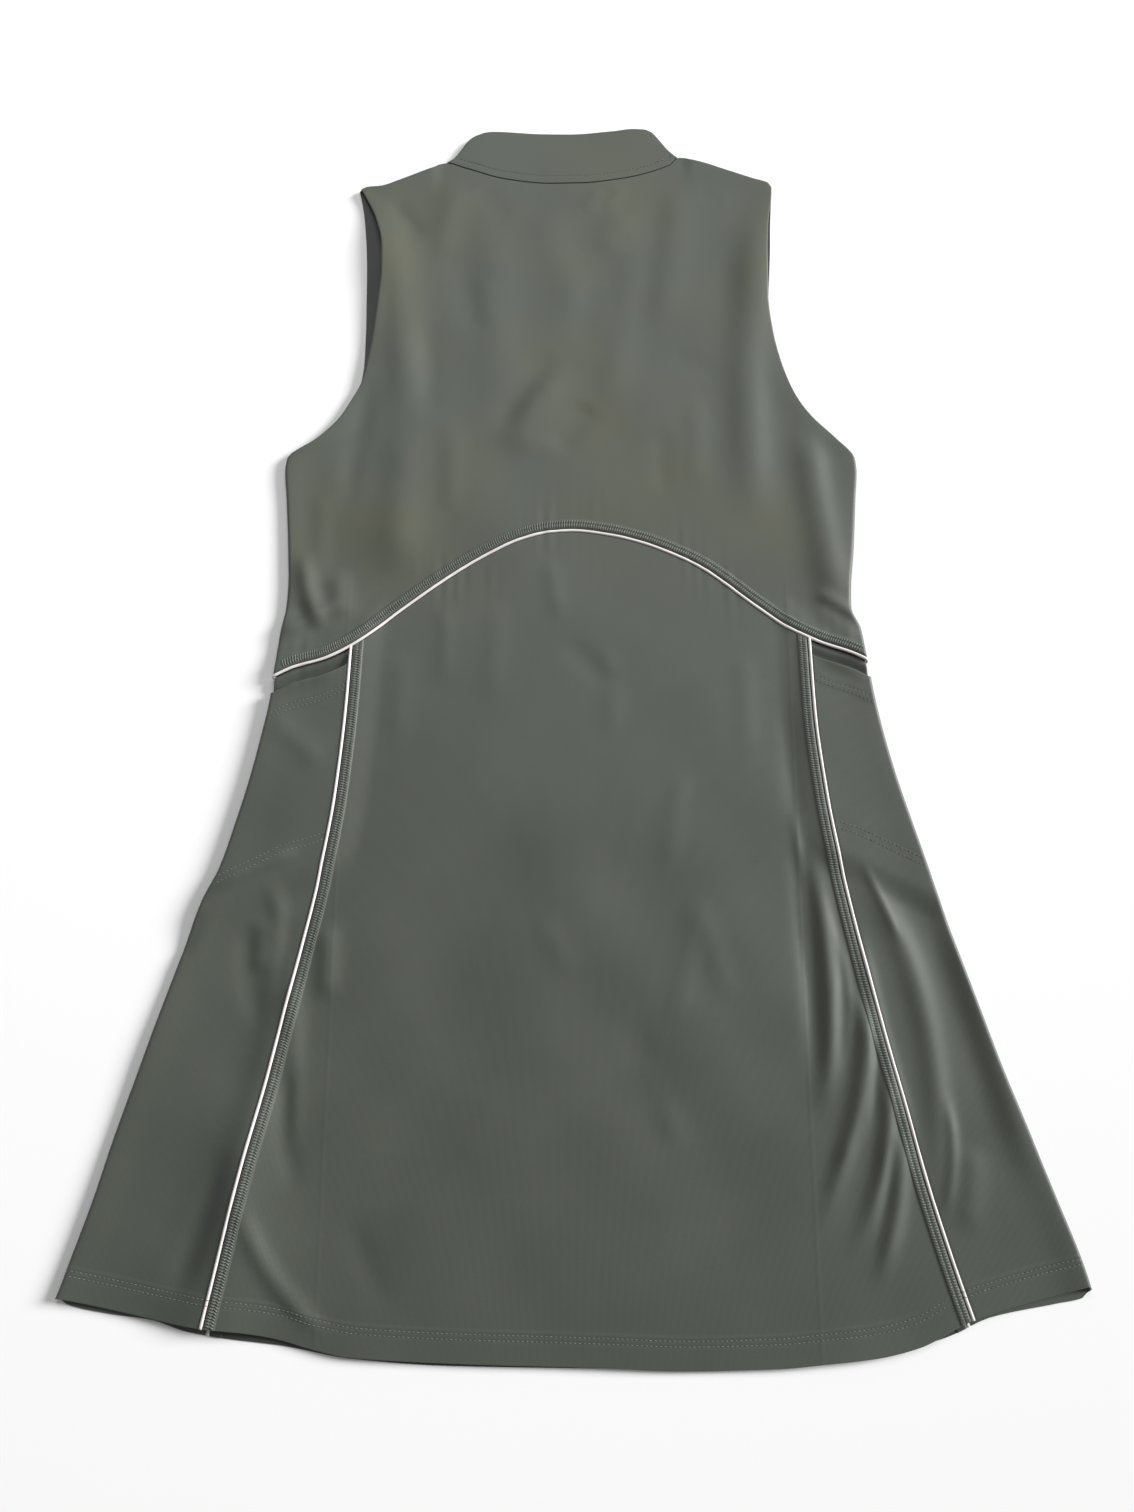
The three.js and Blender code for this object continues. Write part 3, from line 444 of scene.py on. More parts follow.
def through(at, value):
    """A smooth curve through points, with no overshoot between them, straight beyond them."""
    order = np.argsort(at)
    at, value = np.asarray(at)[order], np.asarray(value)[order]
    step = np.diff(at)
    slope = np.diff(value) / step
    agree = slope[:-1] * slope[1:] > 0
    total = np.where(agree, slope[:-1] + slope[1:], 1)
    inner = np.where(agree, 2 * slope[:-1] * slope[1:] / total, 0)
    tangent = np.concatenate([slope[:1], inner, slope[-1:]])

    def curve(x):
        x = np.asarray(x, dtype=float)
        i = np.clip(np.searchsorted(at, x, side="right") - 1, 0, len(step) - 1)
        t = np.clip((x - at[i]) / step[i], 0, 1)
        ease = (1 - t) * (tangent[i] - slope[i]) - t * (tangent[i + 1] - slope[i])
        beyond = tangent[0] * np.minimum(x - at[0], 0) + tangent[-1] * np.maximum(x - at[-1], 0)
        return lerp(value[i], value[i + 1], t) + step[i] * t * (1 - t) * ease + beyond

    return curve


def spread(curve, x):
    """How much further apart two parallel lines are along the axis than across the curve."""
    slope = curve(x + 0.5) - curve(x - 0.5)
    return np.minimum(np.hypot(1, slope), MOST_SPREAD)


def beside(curve, x, distance):
    """The curve's value moved sideways by a distance, positive towards larger values."""
    return curve(x) + distance * spread(curve, x)


def moved(curve, distance):
    return lambda x: beside(curve, x, distance)


def edge(trunk, armhole):
    at = np.concatenate([TRUNK["y"], ARMHOLES["y"]])
    return through(at, np.concatenate([TRUNK[trunk], ARMHOLES[armhole]]))


def collar_side(rows):
    curve = through(rows["y"], rows["x"])
    return lambda y: curve(np.maximum(y, rows["y"][0]))


back_left = edge("left", "back_left")
back_right = edge("right", "back_right")
front_left = edge("left", "front_left")
front_right = edge("right", "front_right")
arch = through(ARCH["x"], ARCH["y"])
back_seam_left = through(BACK_SEAMS["y"], BACK_SEAMS["left"])
back_seam_right = through(BACK_SEAMS["y"], BACK_SEAMS["right"])
back_hem = through(BACK_HEM["x"], BACK_HEM["y"])
front_hem = through(FRONT_HEM["x"], FRONT_HEM["y"])
back_top = through(SHOULDERS_AND_NECK["x"], SHOULDERS_AND_NECK["y"])
collar_top = through(COLLAR_TOP["x"], COLLAR_TOP["y"])
collar_left = collar_side(COLLAR_LEFT)
collar_right = collar_side(COLLAR_RIGHT)


def front_seam_left(y):
    return back_seam_left(y) + FRONT_SEAM_SHIFT


def front_seam_right(y):
    return back_seam_right(y) - FRONT_SEAM_SHIFT


def neck_drop(share):
    """How far the front of the neck lies below the back of it, across its breadth."""
    return FRONT_NECK_DROP * (1 - np.abs(np.clip(2 * share - 1, -1, 1)) ** DROP_SHARPNESS)


def front_top(x):
    return back_top(x) - neck_drop((x - NECK_LEFT) / (NECK_RIGHT - NECK_LEFT))


def front_waist(x):
    """The front waist seam is a low arch between the same two side points."""
    x_left, x_right = ARCH["x"][0], ARCH["x"][-1]
    share = (x - x_left) / (x_right - x_left)
    rise = FRONT_WAIST_RISE * np.sin(np.pi * np.clip(share, 0, 1))
    return lerp(ARCH["y"][0], ARCH["y"][-1], share) + rise


def fold_lift(fold, x, y):
    """The lift of one fold. It fades out with the distance from its line and towards both ends."""
    t = np.linspace(0, 1, FOLD_STEPS + 1)[:, None]
    a, b, c = (np.array(p, dtype=float) for p in fold[:3])
    line = a * (1 - t) ** 2 + 2 * b * t * (1 - t) + c * t ** 2
    reach = 3 * fold.width
    near = (
        (x > line[:, 0].min() - reach) & (x < line[:, 0].max() + reach)
        & (y > line[:, 1].min() - reach) & (y < line[:, 1].max() + reach)
    )
    px, py = x[near], y[near]
    nearest = np.full(px.shape, np.inf)
    along = np.zeros(px.shape)
    for i in range(FOLD_STEPS):
        ax, ay = line[i]
        dx, dy = line[i + 1] - line[i]
        s = np.clip(((px - ax) * dx + (py - ay) * dy) / (dx * dx + dy * dy), 0, 1)
        distance = np.hypot(px - ax - s * dx, py - ay - s * dy)
        closer = distance < nearest
        nearest = np.where(closer, distance, nearest)
        along = np.where(closer, (i + s) / FOLD_STEPS, along)
    lift = np.zeros(x.shape)
    fade = smooth(along / FOLD_FADE) * smooth((1 - along) / FOLD_FADE)
    lift[near] = fold.height * fade * bell(nearest, fold.width)
    return lift


def soft_noise(seed, count, shortest, longest):
    """A soft random relief between about -1 and 1, made of plane waves."""
    draw = np.random.default_rng(seed)
    lengths = np.exp(draw.uniform(math.log(shortest), math.log(longest), count))
    angles = draw.uniform(0, 2 * math.pi, count)
    phases = draw.uniform(0, 2 * math.pi, count)

    def relief(x, y):
        total = np.zeros(np.broadcast(x, y).shape)
        for length, angle, phase in zip(lengths, angles, phases):
            run = x * math.cos(angle) + y * math.sin(angle)
            total += np.sin(2 * math.pi * run / length + phase)
        return total / math.sqrt(count)

    return relief


broad_noise = soft_noise(seed=3, count=9, shortest=70, longest=190)
pucker_patches = soft_noise(seed=5, count=6, shortest=60, longest=120)


def puckers(x, y):
    """Short ripples that the waist seam draws in the cloth above and below it."""
    away = y - arch(x)
    ripple = sum(np.sin(2 * math.pi * x / length + length) for length in PUCKER_LENGTHS) / 2
    patch = smooth((pucker_patches(x, y) + PATCH_SHIFT) / PATCH_RANGE)
    return PUCKER * ripple * patch * bell(away, PUCKER_REACH)


def pocket_zone(x, y):
    """1 over the pocket of one side, 0 well away from it."""
    inner = np.where(x < 0, back_seam_left(y) - x, x - back_seam_right(y))
    across = smooth((inner + POCKET_SPREAD) / POCKET_SLOPE)
    above = smooth((arch(x) + POCKET_SPREAD - y) / POCKET_SLOPE)
    low = y - arch(x) + POCKET_DEPTH + POCKET_SPREAD + POCKET_MOUTH_DROP
    return across * above * smooth(low / POCKET_SLOPE)


def shoulder_share(x):
    """0 along the neck, 1 along the shoulders."""
    return smooth((np.maximum(NECK_LEFT - x, x - NECK_RIGHT) - 1) / SHOULDER_START)


def cloth_height(x, y):
    """Height of the back layer's upper face."""
    x, y = np.broadcast_arrays(np.asarray(x, dtype=float), np.asarray(y, dtype=float))
    to_side = np.maximum(np.minimum(x - back_left(y), back_right(y) - x), 0)
    side_lift = EDGE_LIFT * bell(to_side, EDGE_WIDTH)
    to_shoulder = np.maximum(back_top(x) - y, 0)
    shoulder_lift = EDGE_LIFT * shoulder_share(x) * bell(to_shoulder, EDGE_WIDTH)
    lift = AIR + np.maximum(side_lift, shoulder_lift)
    lift = lift + UNDULATION * broad_noise(x, y) + puckers(x, y)
    for fold in FOLDS + CREASES:
        lift = lift + fold_lift(fold, x, y)
    resting = (lift + np.hypot(lift, CONTACT_SOFTNESS)) / 2
    pocket = pocket_zone(x, y)
    return STACK + POCKET_LIFT * pocket + resting * (1 - POCKET_TAUTNESS * pocket)


def band_share(distance):
    """1 on the band of a coverstitched seam and 0 beside it. Distances are from its piping's middle."""
    rise = smooth((distance - BAND_START) / BAND_RISE)
    return rise * smooth((BAND_END + BAND_FALL - distance) / BAND_FALL)


def band_lift(distance):
    """The band is raised, with a dent along its middle."""
    dent = BAND_DENT * bell(distance - BAND_MIDDLE, BAND_DENT_WIDTH)
    return BAND_LIFT * band_share(distance) - dent


def row_groove(distance, rows):
    """The slight grooves that rows of stitches press into cloth."""
    return -ROW_GROOVE * sum(bell(distance - row, ROW_GROOVE_WIDTH) for row in rows)


HEM_ROWS = (HEM_DEPTH - HEM_ROW_GAP, HEM_DEPTH)
MOUTH_ROWS = (MOUTH_HEM_DEPTH, MOUTH_HEM_DEPTH + MOUTH_ROW_GAP)


def hem_relief(x, y, hem):
    up = (y - hem(x)) / spread(hem, x)
    turned_up = HEM_LIFT * smooth((HEM_DEPTH + HEM_EDGE - up) / HEM_SLOPE)
    return turned_up + row_groove(up, HEM_ROWS)


def bodice_height(x, y):
    above = (y - arch(x)) / spread(arch, x)
    return cloth_height(x, y) + band_lift(above)


def skirt_height(x, y):
    from_left = (x - back_seam_left(y)) / spread(back_seam_left, y)
    from_right = (back_seam_right(y) - x) / spread(back_seam_right, y)
    bands = band_lift(from_left) + band_lift(from_right)
    return cloth_height(x, y) + bands + hem_relief(x, y, back_hem)


def mouth_gape(x, y, below_mouth):
    """The pocket's mouth stands a little open between the seam and the fold."""
    to_seam = np.where(x < 0, back_seam_left(y) - x, x - back_seam_right(y))
    to_fold = np.minimum(x - back_left(y), back_right(y) - x)
    middle = smooth(to_seam / GAPE_ENDS) * smooth(to_fold / GAPE_ENDS)
    return GAPE * middle * bell(below_mouth, GAPE_DEPTH)


def side_height(x, y):
    below_mouth = arch(x) - POCKET_MOUTH_DROP - y
    mouth_hem = HEM_LIFT * smooth((MOUTH_ROWS[1] + MOUTH_EDGE - below_mouth) / HEM_SLOPE)
    mouth = mouth_hem + row_groove(below_mouth, MOUTH_ROWS)
    bag = row_groove(arch(x) - y, BAG_ROWS)
    gape = mouth_gape(x, y, below_mouth)
    return cloth_height(x, y) + gape + mouth + bag + hem_relief(x, y, back_hem)


def backing_height(x, y):
    """The backing dips under the pocket's mouth, which stands open a little."""
    below_waist = arch(x) - y
    sunk = (below_waist - POCKET_DIP_START) / (POCKET_MOUTH_DROP - POCKET_DIP_START)
    dip = POCKET_DIP * smooth(sunk)
    bulge = POCKET_BULGE * bell(below_waist - POCKET_BULGE_PLACE, POCKET_BULGE_WIDTH)
    return cloth_height(x, y) - dip + bulge


def collar_height(x, y):
    above_seam = y - back_top(x)
    tape = NECK_TAPE * smooth((NECK_ROW - above_seam) / NECK_TAPE_SLOPE)
    dent = NECK_DENT * bell(above_seam - NECK_ROW, NECK_DENT_WIDTH)
    return cloth_height(x, y) + tape - dent


# Places of grid lines across or along a panel: a share of the way between its two borders, distances
# inside the first and the last border, and how far the line is rolled over a border.
Stations = namedtuple("Stations", "share first last roll")


def stations(count, first=(RIM,), last=(RIM,), roll_first=False, roll_last=False):
    rolls = [i / ROLL_STEPS for i in range(ROLL_STEPS, 0, -1)]
    rows = [(0, RIM, RIM, -roll) for roll in rolls] if roll_first else []
    rows += [(0, distance, last[-1], 0) for distance in first]
    rows += [(i / count, first[-1], last[-1], 0) for i in range(1, count)]
    rows += [(1, first[-1], distance, 0) for distance in reversed(last)]
    rows += [(1, RIM, RIM, roll) for roll in reversed(rolls)] if roll_last else []
    return Stations(*np.array(rows, dtype=float).T)


def meet(curve, x_at):
    """The height at which each grid line crosses a curve."""
    y = curve(x_at(0.0))
    for _ in range(MEETING_ROUNDS):
        y = curve(x_at(y))
    return y


def inset(distance, angle, turned):
    """How far inside a border a grid line lies, where the border turns over through an angle."""
    rolled = EDGE_RADIUS * (np.sin(angle) - np.sin(turned * angle))
    return distance - RIM * (1 - np.cos(angle)) + rolled


def flat(at):
    return 0.0 * at


def layer_grid(left, right, bottom, top, across, upwards, height, underside=False, curls=None):
    """Points of one layer between two side curves and a lower and an upper curve. Each curl gives
    the angle through which that border turns over towards the other layer."""
    curls = curls or {}
    curl_left, curl_right, curl_top = (curls.get(key, flat) for key in ("left", "right", "top"))
    share, first, last, roll = (column[:, None] for column in across)

    def x_at(y):
        near, far = curl_left(y), curl_right(y)
        x_left = beside(left, y, inset(first, near, np.maximum(-roll, 0)))
        x_right = beside(right, y, -inset(last, far, np.maximum(roll, 0)))
        return lerp(x_left, x_right, share)

    y_bottom, y_top = meet(bottom, x_at), meet(top, x_at)
    x_bottom, x_top = x_at(y_bottom), x_at(y_top)
    top_angle = curl_top(x_top)
    low = beside(bottom, x_bottom, upwards.first)
    high = beside(top, x_top, -inset(upwards.last, top_angle, upwards.roll))
    y = lerp(low, high, upwards.share)
    x = x_at(y)
    alpha = np.where(roll < 0, -roll * curl_left(y), roll * curl_right(y))
    turn = 1 - np.cos(alpha) * np.cos(upwards.roll * top_angle)
    half_gap = SIDE_SEAM_GAP / 2 + RIM
    z = lerp(height(x, y), EDGE_RADIUS - half_gap if underside else EDGE_RADIUS + half_gap, turn)
    return np.stack([x, y, z], axis=-1)


def directions(points, axis, ring):
    """Unit tangents of grid lines, from the parabola through three points."""
    p = np.moveaxis(points, axis, 0)
    if ring:
        padded = np.concatenate([p[-1:], p, p[:1]])
    else:
        padded = np.concatenate([2 * p[:1] - p[1:2], p, 2 * p[-1:] - p[-2:-1]])
    leg = np.diff(padded, axis=0)
    squared = (leg ** 2).sum(-1, keepdims=True)
    tangent = leg[:-1] * squared[1:] + leg[1:] * squared[:-1]
    tangent /= np.linalg.norm(tangent, axis=-1, keepdims=True)
    return np.moveaxis(tangent, 0, axis)


def wall(grid, face_up, column, ring=False):
    """A closed wall with rounded rims, from points on its outer face. Its given column faces up or
    down."""
    n, m = grid.shape[:2]
    t_i, t_j = directions(grid, 0, ring), directions(grid, 1, False)
    normal = np.cross(t_i, t_j)
    normal /= np.linalg.norm(normal, axis=-1, keepdims=True)
    flipped = (normal[column, m // 2, 2] > 0) != face_up
    if flipped:
        normal = -normal
    middle = grid - RIM * normal

    pad_i = 0 if ring else RIM_STEPS
    i = np.arange(-pad_i, n + pad_i)
    j = np.arange(-RIM_STEPS, m + RIM_STEPS)
    i_in, j_in = np.clip(i, 0, n - 1), np.clip(j, 0, m - 1)
    a_i = ((i - i_in) / RIM_STEPS * QUARTER)[:, None, None]
    a_j = ((j - j_in) / RIM_STEPS * QUARTER)[None, :, None]
    pick = np.ix_(i_in, j_in)
    side = t_i[pick] * np.sin(a_i) + t_j[pick] * np.sin(a_j)
    up = normal[pick] * np.cos(a_i) * np.cos(a_j)
    outer = middle[pick] + RIM * (side + up)
    inner = middle[pick] + RIM * (side - up)

    rows, columns = len(i), len(j)
    ids = np.arange(rows * columns).reshape(rows, columns)
    inner_ids = ids + rows * columns
    shared = np.zeros((rows, columns), dtype=bool)
    shared[:, [0, -1]] = True
    if not ring:
        shared[[0, -1], :] = True
    inner_ids = np.where(shared, ids, inner_ids)

    def quads(index):
        index = np.concatenate([index, index[:1]]) if ring else index
        corners = index[:-1, :-1], index[1:, :-1], index[1:, 1:], index[:-1, 1:]
        return np.stack(corners, axis=-1).reshape(-1, 4)

    outer_faces, inner_faces = quads(ids), quads(inner_ids)
    if flipped:
        outer_faces = outer_faces[:, ::-1]
    else:
        inner_faces = inner_faces[:, ::-1]
    points = np.concatenate([outer.reshape(-1, 3), inner.reshape(-1, 3)])
    used, faces = np.unique(np.concatenate([outer_faces, inner_faces]), return_inverse=True)
    return points[used], faces.reshape(-1, 4).tolist()


def mesh_object(name, points, faces, material):
    """A smooth-shaded object from points in millimetres."""
    mesh = bpy.data.meshes.new(name)
    mesh.from_pydata((np.asarray(points) * MM).tolist(), [], faces)
    mesh.shade_smooth()
    mesh.materials.append(material)
    made = bpy.data.objects.new(name, mesh)
    bpy.context.scene.collection.objects.link(made)
    return made


def side_grid(side, seam_back, seam_front, mouth_back, mouth_front, hem_back, hem_front, rows,
              upper_steps, lower_steps, height, face, sunk):
    """Points of a panel that wraps round the side from a back seam to a front seam. A sunk panel
    lies inside another."""
    silhouette = back_left if side < 0 else back_right

    def fold(y):
        return silhouette(y) - side * EDGE_RADIUS

    def seam_to_fold(seam, share):
        return lambda y: lerp(beside(seam, y, side * RIM), fold(y), share)

    def heights(top, bottom):
        return lerp(top - rows.first, bottom + rows.last, rows.share)

    upper = np.linspace(0, 1, upper_steps + 1)[:, None]
    x_at = seam_to_fold(seam_back, upper)
    top, bottom = meet(mouth_back, x_at), meet(hem_back, x_at)
    y = heights(top, bottom)
    x = x_at(y)
    over = np.stack([x, y, height(x, y) - sunk], axis=-1)

    lower = np.linspace(1, 0, lower_steps + 1)[:, None]
    x_at = seam_to_fold(seam_front, lower)
    top_front, bottom_front = meet(mouth_front, x_at), meet(hem_front, x_at)
    y = heights(top_front, bottom_front)
    x = x_at(y)
    under = np.stack([x, y, sunk + face(x, y)], axis=-1)

    share = np.linspace(0, 1, ARC_STEPS + 1)[1:-1, None]
    angle = lerp(QUARTER, -QUARTER, share)
    y = heights(lerp(top[-1], top_front[0], share), lerp(bottom[-1], bottom_front[0], share))
    x = fold(y) + side * (EDGE_RADIUS - sunk) * np.cos(angle)
    radius = height(fold(y), y) / 2
    round_edge = np.stack([x, y, radius + (radius - sunk) * np.sin(angle)], axis=-1)
    return np.concatenate([over, round_edge, under])


def collar_grid(upper_steps, lower_steps, rows):
    """The collar is a ring pressed flat: its back half lies up, and its front half lies lower down
    the neck."""
    def line(share, drop, place):
        def x_at(y):
            return lerp(collar_left(y) + EDGE_RADIUS, collar_right(y) - EDGE_RADIUS, share)

        low = meet(moved(back_top, SEAM_GAP / 2), x_at)
        high = meet(collar_top, x_at)
        y = lerp(low + rows.first, high - rows.last, rows.share)
        x, z = place(x_at(y), y)
        return np.stack([x, y - drop, z], axis=-1)

    def fold_over(side):
        angle = side * lerp(QUARTER, -QUARTER, np.linspace(0, 1, ARC_STEPS + 1)[1:-1, None])
        share = np.full(angle.shape, max(side, 0))

        def place(x, y):
            radius = collar_height(x, y) / 2
            return x + side * EDGE_RADIUS * np.cos(angle), radius * (1 + np.sin(angle))

        return line(share, 0, place)

    upper = np.linspace(0, 1, upper_steps + 1)[:, None]
    lower = np.linspace(1, 0, lower_steps + 1)[:, None]
    return np.concatenate([
        line(upper, 0, lambda x, y: (x, collar_height(x, y))),
        fold_over(1),
        line(lower, neck_drop(lower), lambda x, y: (x, 0.0 * y)),
        fold_over(-1),
    ])


def unit(vectors):
    return vectors / np.linalg.norm(vectors, axis=-1, keepdims=True)


def strip(path, outward, half, radius, sides, closed):
    """A round strip along a path, with its outward directions and half heights there."""
    if closed:
        forward = np.roll(path, -1, axis=0) - np.roll(path, 1, axis=0)
    else:
        forward = np.gradient(path, axis=0)
    sideways = unit(np.cross(forward, outward))
    angle = (np.arange(sides) / sides * 2 * math.pi)[None, :, None]
    across = sideways[:, None] * np.reshape(radius, (-1, 1, 1)) * np.cos(angle)
    upward = outward[:, None] * np.reshape(half, (-1, 1, 1)) * np.sin(angle)
    points = (path[:, None] + across + upward).reshape(-1, 3)
    ids = np.arange(len(points)).reshape(len(path), sides)
    if closed:
        ids = np.concatenate([ids, ids[:1]])
    ids = np.concatenate([ids, ids[:, :1]], axis=1)
    corners = ids[:-1, :-1], ids[1:, :-1], ids[1:, 1:], ids[:-1, 1:]
    faces = np.stack(corners, axis=-1).reshape(-1, 4).tolist()
    if not closed:
        faces += [list(range(sides)), list(range(len(points) - 1, len(points) - sides - 1, -1))]
    return points, faces


def thread(points, radius=THREAD_RADIUS):
    """A short thread through points, in a seam's own directions: along it, across it and up."""
    points = np.array(points, dtype=float)
    forward = unit(np.gradient(points, axis=0))
    level = np.cross((0, 0, 1.0), forward)
    upward = unit(np.cross(forward, level))
    taper = np.full(len(points), radius)
    taper[[0, -1]] *= THREAD_TAPER
    return strip(points, upward, taper, taper, THREAD_SIDES, closed=False)


def joined(shapes):
    """Several small shapes as one."""
    points, faces = [], []
    for own_points, own_faces in shapes:
        start = sum(len(p) for p in points)
        points.append(own_points)
        faces += [[v + start for v in face] for face in own_faces]
    return np.concatenate(points), faces


def copies(name, shape, frames, material):
    """One object from a copy of a small shape in each frame."""
    points, faces = shape
    origin, *axes = frames
    placed = origin[:, None] + sum(axis[:, None] * points[None, :, k:k + 1]
                                   for k, axis in enumerate(axes))
    size = len(points)
    every = [[v + k * size for v in face] for k in range(len(origin)) for face in faces]
    return mesh_object(name, placed.reshape(-1, 3), every, material)


def even_places(curve, start, end, step):
    """Places along a curve at even distances from each other."""
    fine = np.linspace(start, end, PLACE_STEPS)
    length = np.hypot(np.diff(fine), np.diff(curve(fine))).cumsum()
    length = np.concatenate([[0], length])
    count = max(int(round(length[-1] / step)), 2)
    return np.interp((np.arange(count) + 0.5) / count * length[-1], length, fine)


def line_across(curve, start, end, step):
    """Points and directions along a curve that gives y for each x."""
    x = even_places(curve, start, end, step)
    slope = curve(x + 0.5) - curve(x - 0.5)
    return x, curve(x), unit(np.stack([np.ones_like(x), slope, 0 * x], axis=-1))


def line_down(curve, start, end, step):
    """Points and directions along a curve that gives x for each y."""
    y = even_places(curve, start, end, step)
    slope = curve(y + 0.5) - curve(y - 0.5)
    return curve(y), y, unit(np.stack([slope, np.ones_like(y), 0 * y], axis=-1))


def frames_on(x, y, direction, height, underside=False):
    """Directions along a line, across it and out of the cloth, at points on the cloth's face."""
    z = height(x, y)
    slope_x = height(x + 0.5, y) - height(x - 0.5, y)
    slope_y = height(x, y + 0.5) - height(x, y - 0.5)
    up = unit(np.stack([-slope_x, -slope_y, np.ones_like(z)], axis=-1))
    if underside:
        up = -up
    along = unit(direction - up * (direction * up).sum(-1, keepdims=True))
    return np.stack([x, y, z], axis=-1), along, np.cross(up, along), up


# One stitch of the band: a bar and a slanted loop, with the needle's stitch between them.
BAND_STITCH = joined([
    thread([
        (-0.1, -3.1, -0.1),
        (-0.05, -2.6, 0.42),
        (0, -1.6, 0.55),
        (0.1, -0.7, 0.45),
        (0.15, -0.1, 0),
    ]),
    thread([
        (0.1, 0.1, 0),
        (0.3, 0.7, 0.42),
        (0.5, 1.4, 0.5),
        (0.75, 2.1, 0.42),
        (0.9, 2.6, -0.1),
    ]),
    thread([(-0.8, 0, 0), (-0.3, 0, 0.22), (0.3, 0, 0.22), (0.8, 0, 0)], radius=0.26),
])
ROW_STITCH_SHAPE = thread([
    (-ROW_STITCH / 2, 0, -0.2),
    (-ROW_STITCH / 3, 0, 0.1),
    (0, 0, 0.16),
    (ROW_STITCH / 3, 0, 0.1),
    (ROW_STITCH / 2, 0, -0.2),
], radius=0.21)

# A stitch that crosses the piping where a hem row meets it.
TICK = thread([(-1.5, 0, 0), (-1.0, 0, 0.75), (0, 0, 1.05), (1.0, 0, 0.75), (1.5, 0, 0)], radius=0.22)


def onto(node, piece):
    """A piece hangs from the root body and, given a CAD node's name, stands in for that node, which is
    hidden.
    """
    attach(piece, "root")
    if node:
        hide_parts(node)
    return piece


# Materials
def new_material(name):
    made = bpy.data.materials.new(name)
    made.use_nodes = True
    tree = made.node_tree
    return made, tree, tree.nodes["Principled BSDF"]


def noise_node(tree, vector, scale, detail):
    node = tree.nodes.new("ShaderNodeTexNoise")
    node.inputs["Scale"].default_value = scale
    node.inputs["Detail"].default_value = detail
    tree.links.new(vector, node.inputs["Vector"])
    return node.outputs["Fac"]


def wave_node(tree, vector, scale, direction, distortion):
    node = tree.nodes.new("ShaderNodeTexWave")
    node.bands_direction = direction
    node.inputs["Scale"].default_value = scale
    node.inputs["Distortion"].default_value = distortion
    node.inputs["Detail"].default_value = 1.0
    node.inputs["Detail Scale"].default_value = 2.0
    tree.links.new(vector, node.inputs["Vector"])
    return node.outputs["Fac"]


def math_node(tree, operation, *values):
    node = tree.nodes.new("ShaderNodeMath")
    node.operation = operation
    for socket, value in zip(node.inputs, values):
        if isinstance(value, (int, float)):
            socket.default_value = value
        else:
            tree.links.new(value, socket)
    return node.outputs[0]


def range_node(tree, value, low, high, to_low=0.0, to_high=1.0):
    node = tree.nodes.new("ShaderNodeMapRange")
    node.inputs["From Min"].default_value = low
    node.inputs["From Max"].default_value = high
    node.inputs["To Min"].default_value = to_low
    node.inputs["To Max"].default_value = to_high
    tree.links.new(value, node.inputs["Value"])
    return node.outputs["Result"]


def mixed_colour(tree, factor, first, second):
    """A mix of two colours, the first of them a plain one or another node's."""
    node = tree.nodes.new("ShaderNodeMix")
    node.data_type = "RGBA"
    if isinstance(first, tuple):
        node.inputs["A"].default_value = (*first, 1)
    else:
        tree.links.new(first, node.inputs["A"])
    node.inputs["B"].default_value = (*second, 1)
    tree.links.new(factor, node.inputs["Factor"])
    return node.outputs["Result"]


def bump_node(tree, height, strength, distance, before=None):
    node = tree.nodes.new("ShaderNodeBump")
    node.inputs["Strength"].default_value = strength
    node.inputs["Distance"].default_value = distance
    tree.links.new(height, node.inputs["Height"])
    if before:
        tree.links.new(before, node.inputs["Normal"])
    return node.outputs["Normal"]


CLOTH_LIGHT = (0.071, 0.0805, 0.0645)
CLOTH_DARK = (0.0587, 0.067, 0.053)
# The pocket bag, seen through the open mouth, is darker than the cloth: painted shade of the pocket's
# opening.
POCKET_SHADED_LIGHT = (0.056, 0.0635, 0.051)
POCKET_SHADED_DARK = (0.046, 0.0525, 0.042)
SATIN_LIGHT = (0.83, 0.79, 0.78)
SATIN_DARK = (0.74, 0.69, 0.675)
BAND_THREAD_LIGHT = (0.2, 0.22, 0.195)
BAND_THREAD_DARK = (0.14, 0.152, 0.132)
ROW_THREAD_LIGHT = (0.17, 0.185, 0.16)
ROW_THREAD_DARK = (0.1, 0.11, 0.094)
FLECK_SHARE = 0.35
WALE = 420.0
COURSE = 520.0
COURSE_SHARE = 0.6
PRESS_LINES = (-0.169, 0.161)
PRESS_WIDTH = 0.0022
PRESS_RANGE = (0.05, 0.09)
# Painted shade: where the front's inside faces up under the back layer, it is darkened to this colour in
# place of the shade there.
INSIDE_SHADE_COLOUR = (0.036, 0.04, 0.034)
# Olive patches high on the dress are painted warm light: the tint the lighting gives there, mixed into
# the knit's colour.
OLIVE_PAINTED_LIGHT = (0.0715, 0.0762, 0.0475)
PAINTED_LIGHT_HEIGHTS = (0.03, 0.12)


def press_line(tree, across, place):
    """The line that a fold in the packet left down the cloth, 1 on it and 0 beside it."""
    offset = math_node(tree, "SUBTRACT", across, place)
    distance = math_node(tree, "ABSOLUTE", offset)
    return range_node(tree, distance, 0.0, PRESS_WIDTH, to_low=1.0, to_high=0.0)


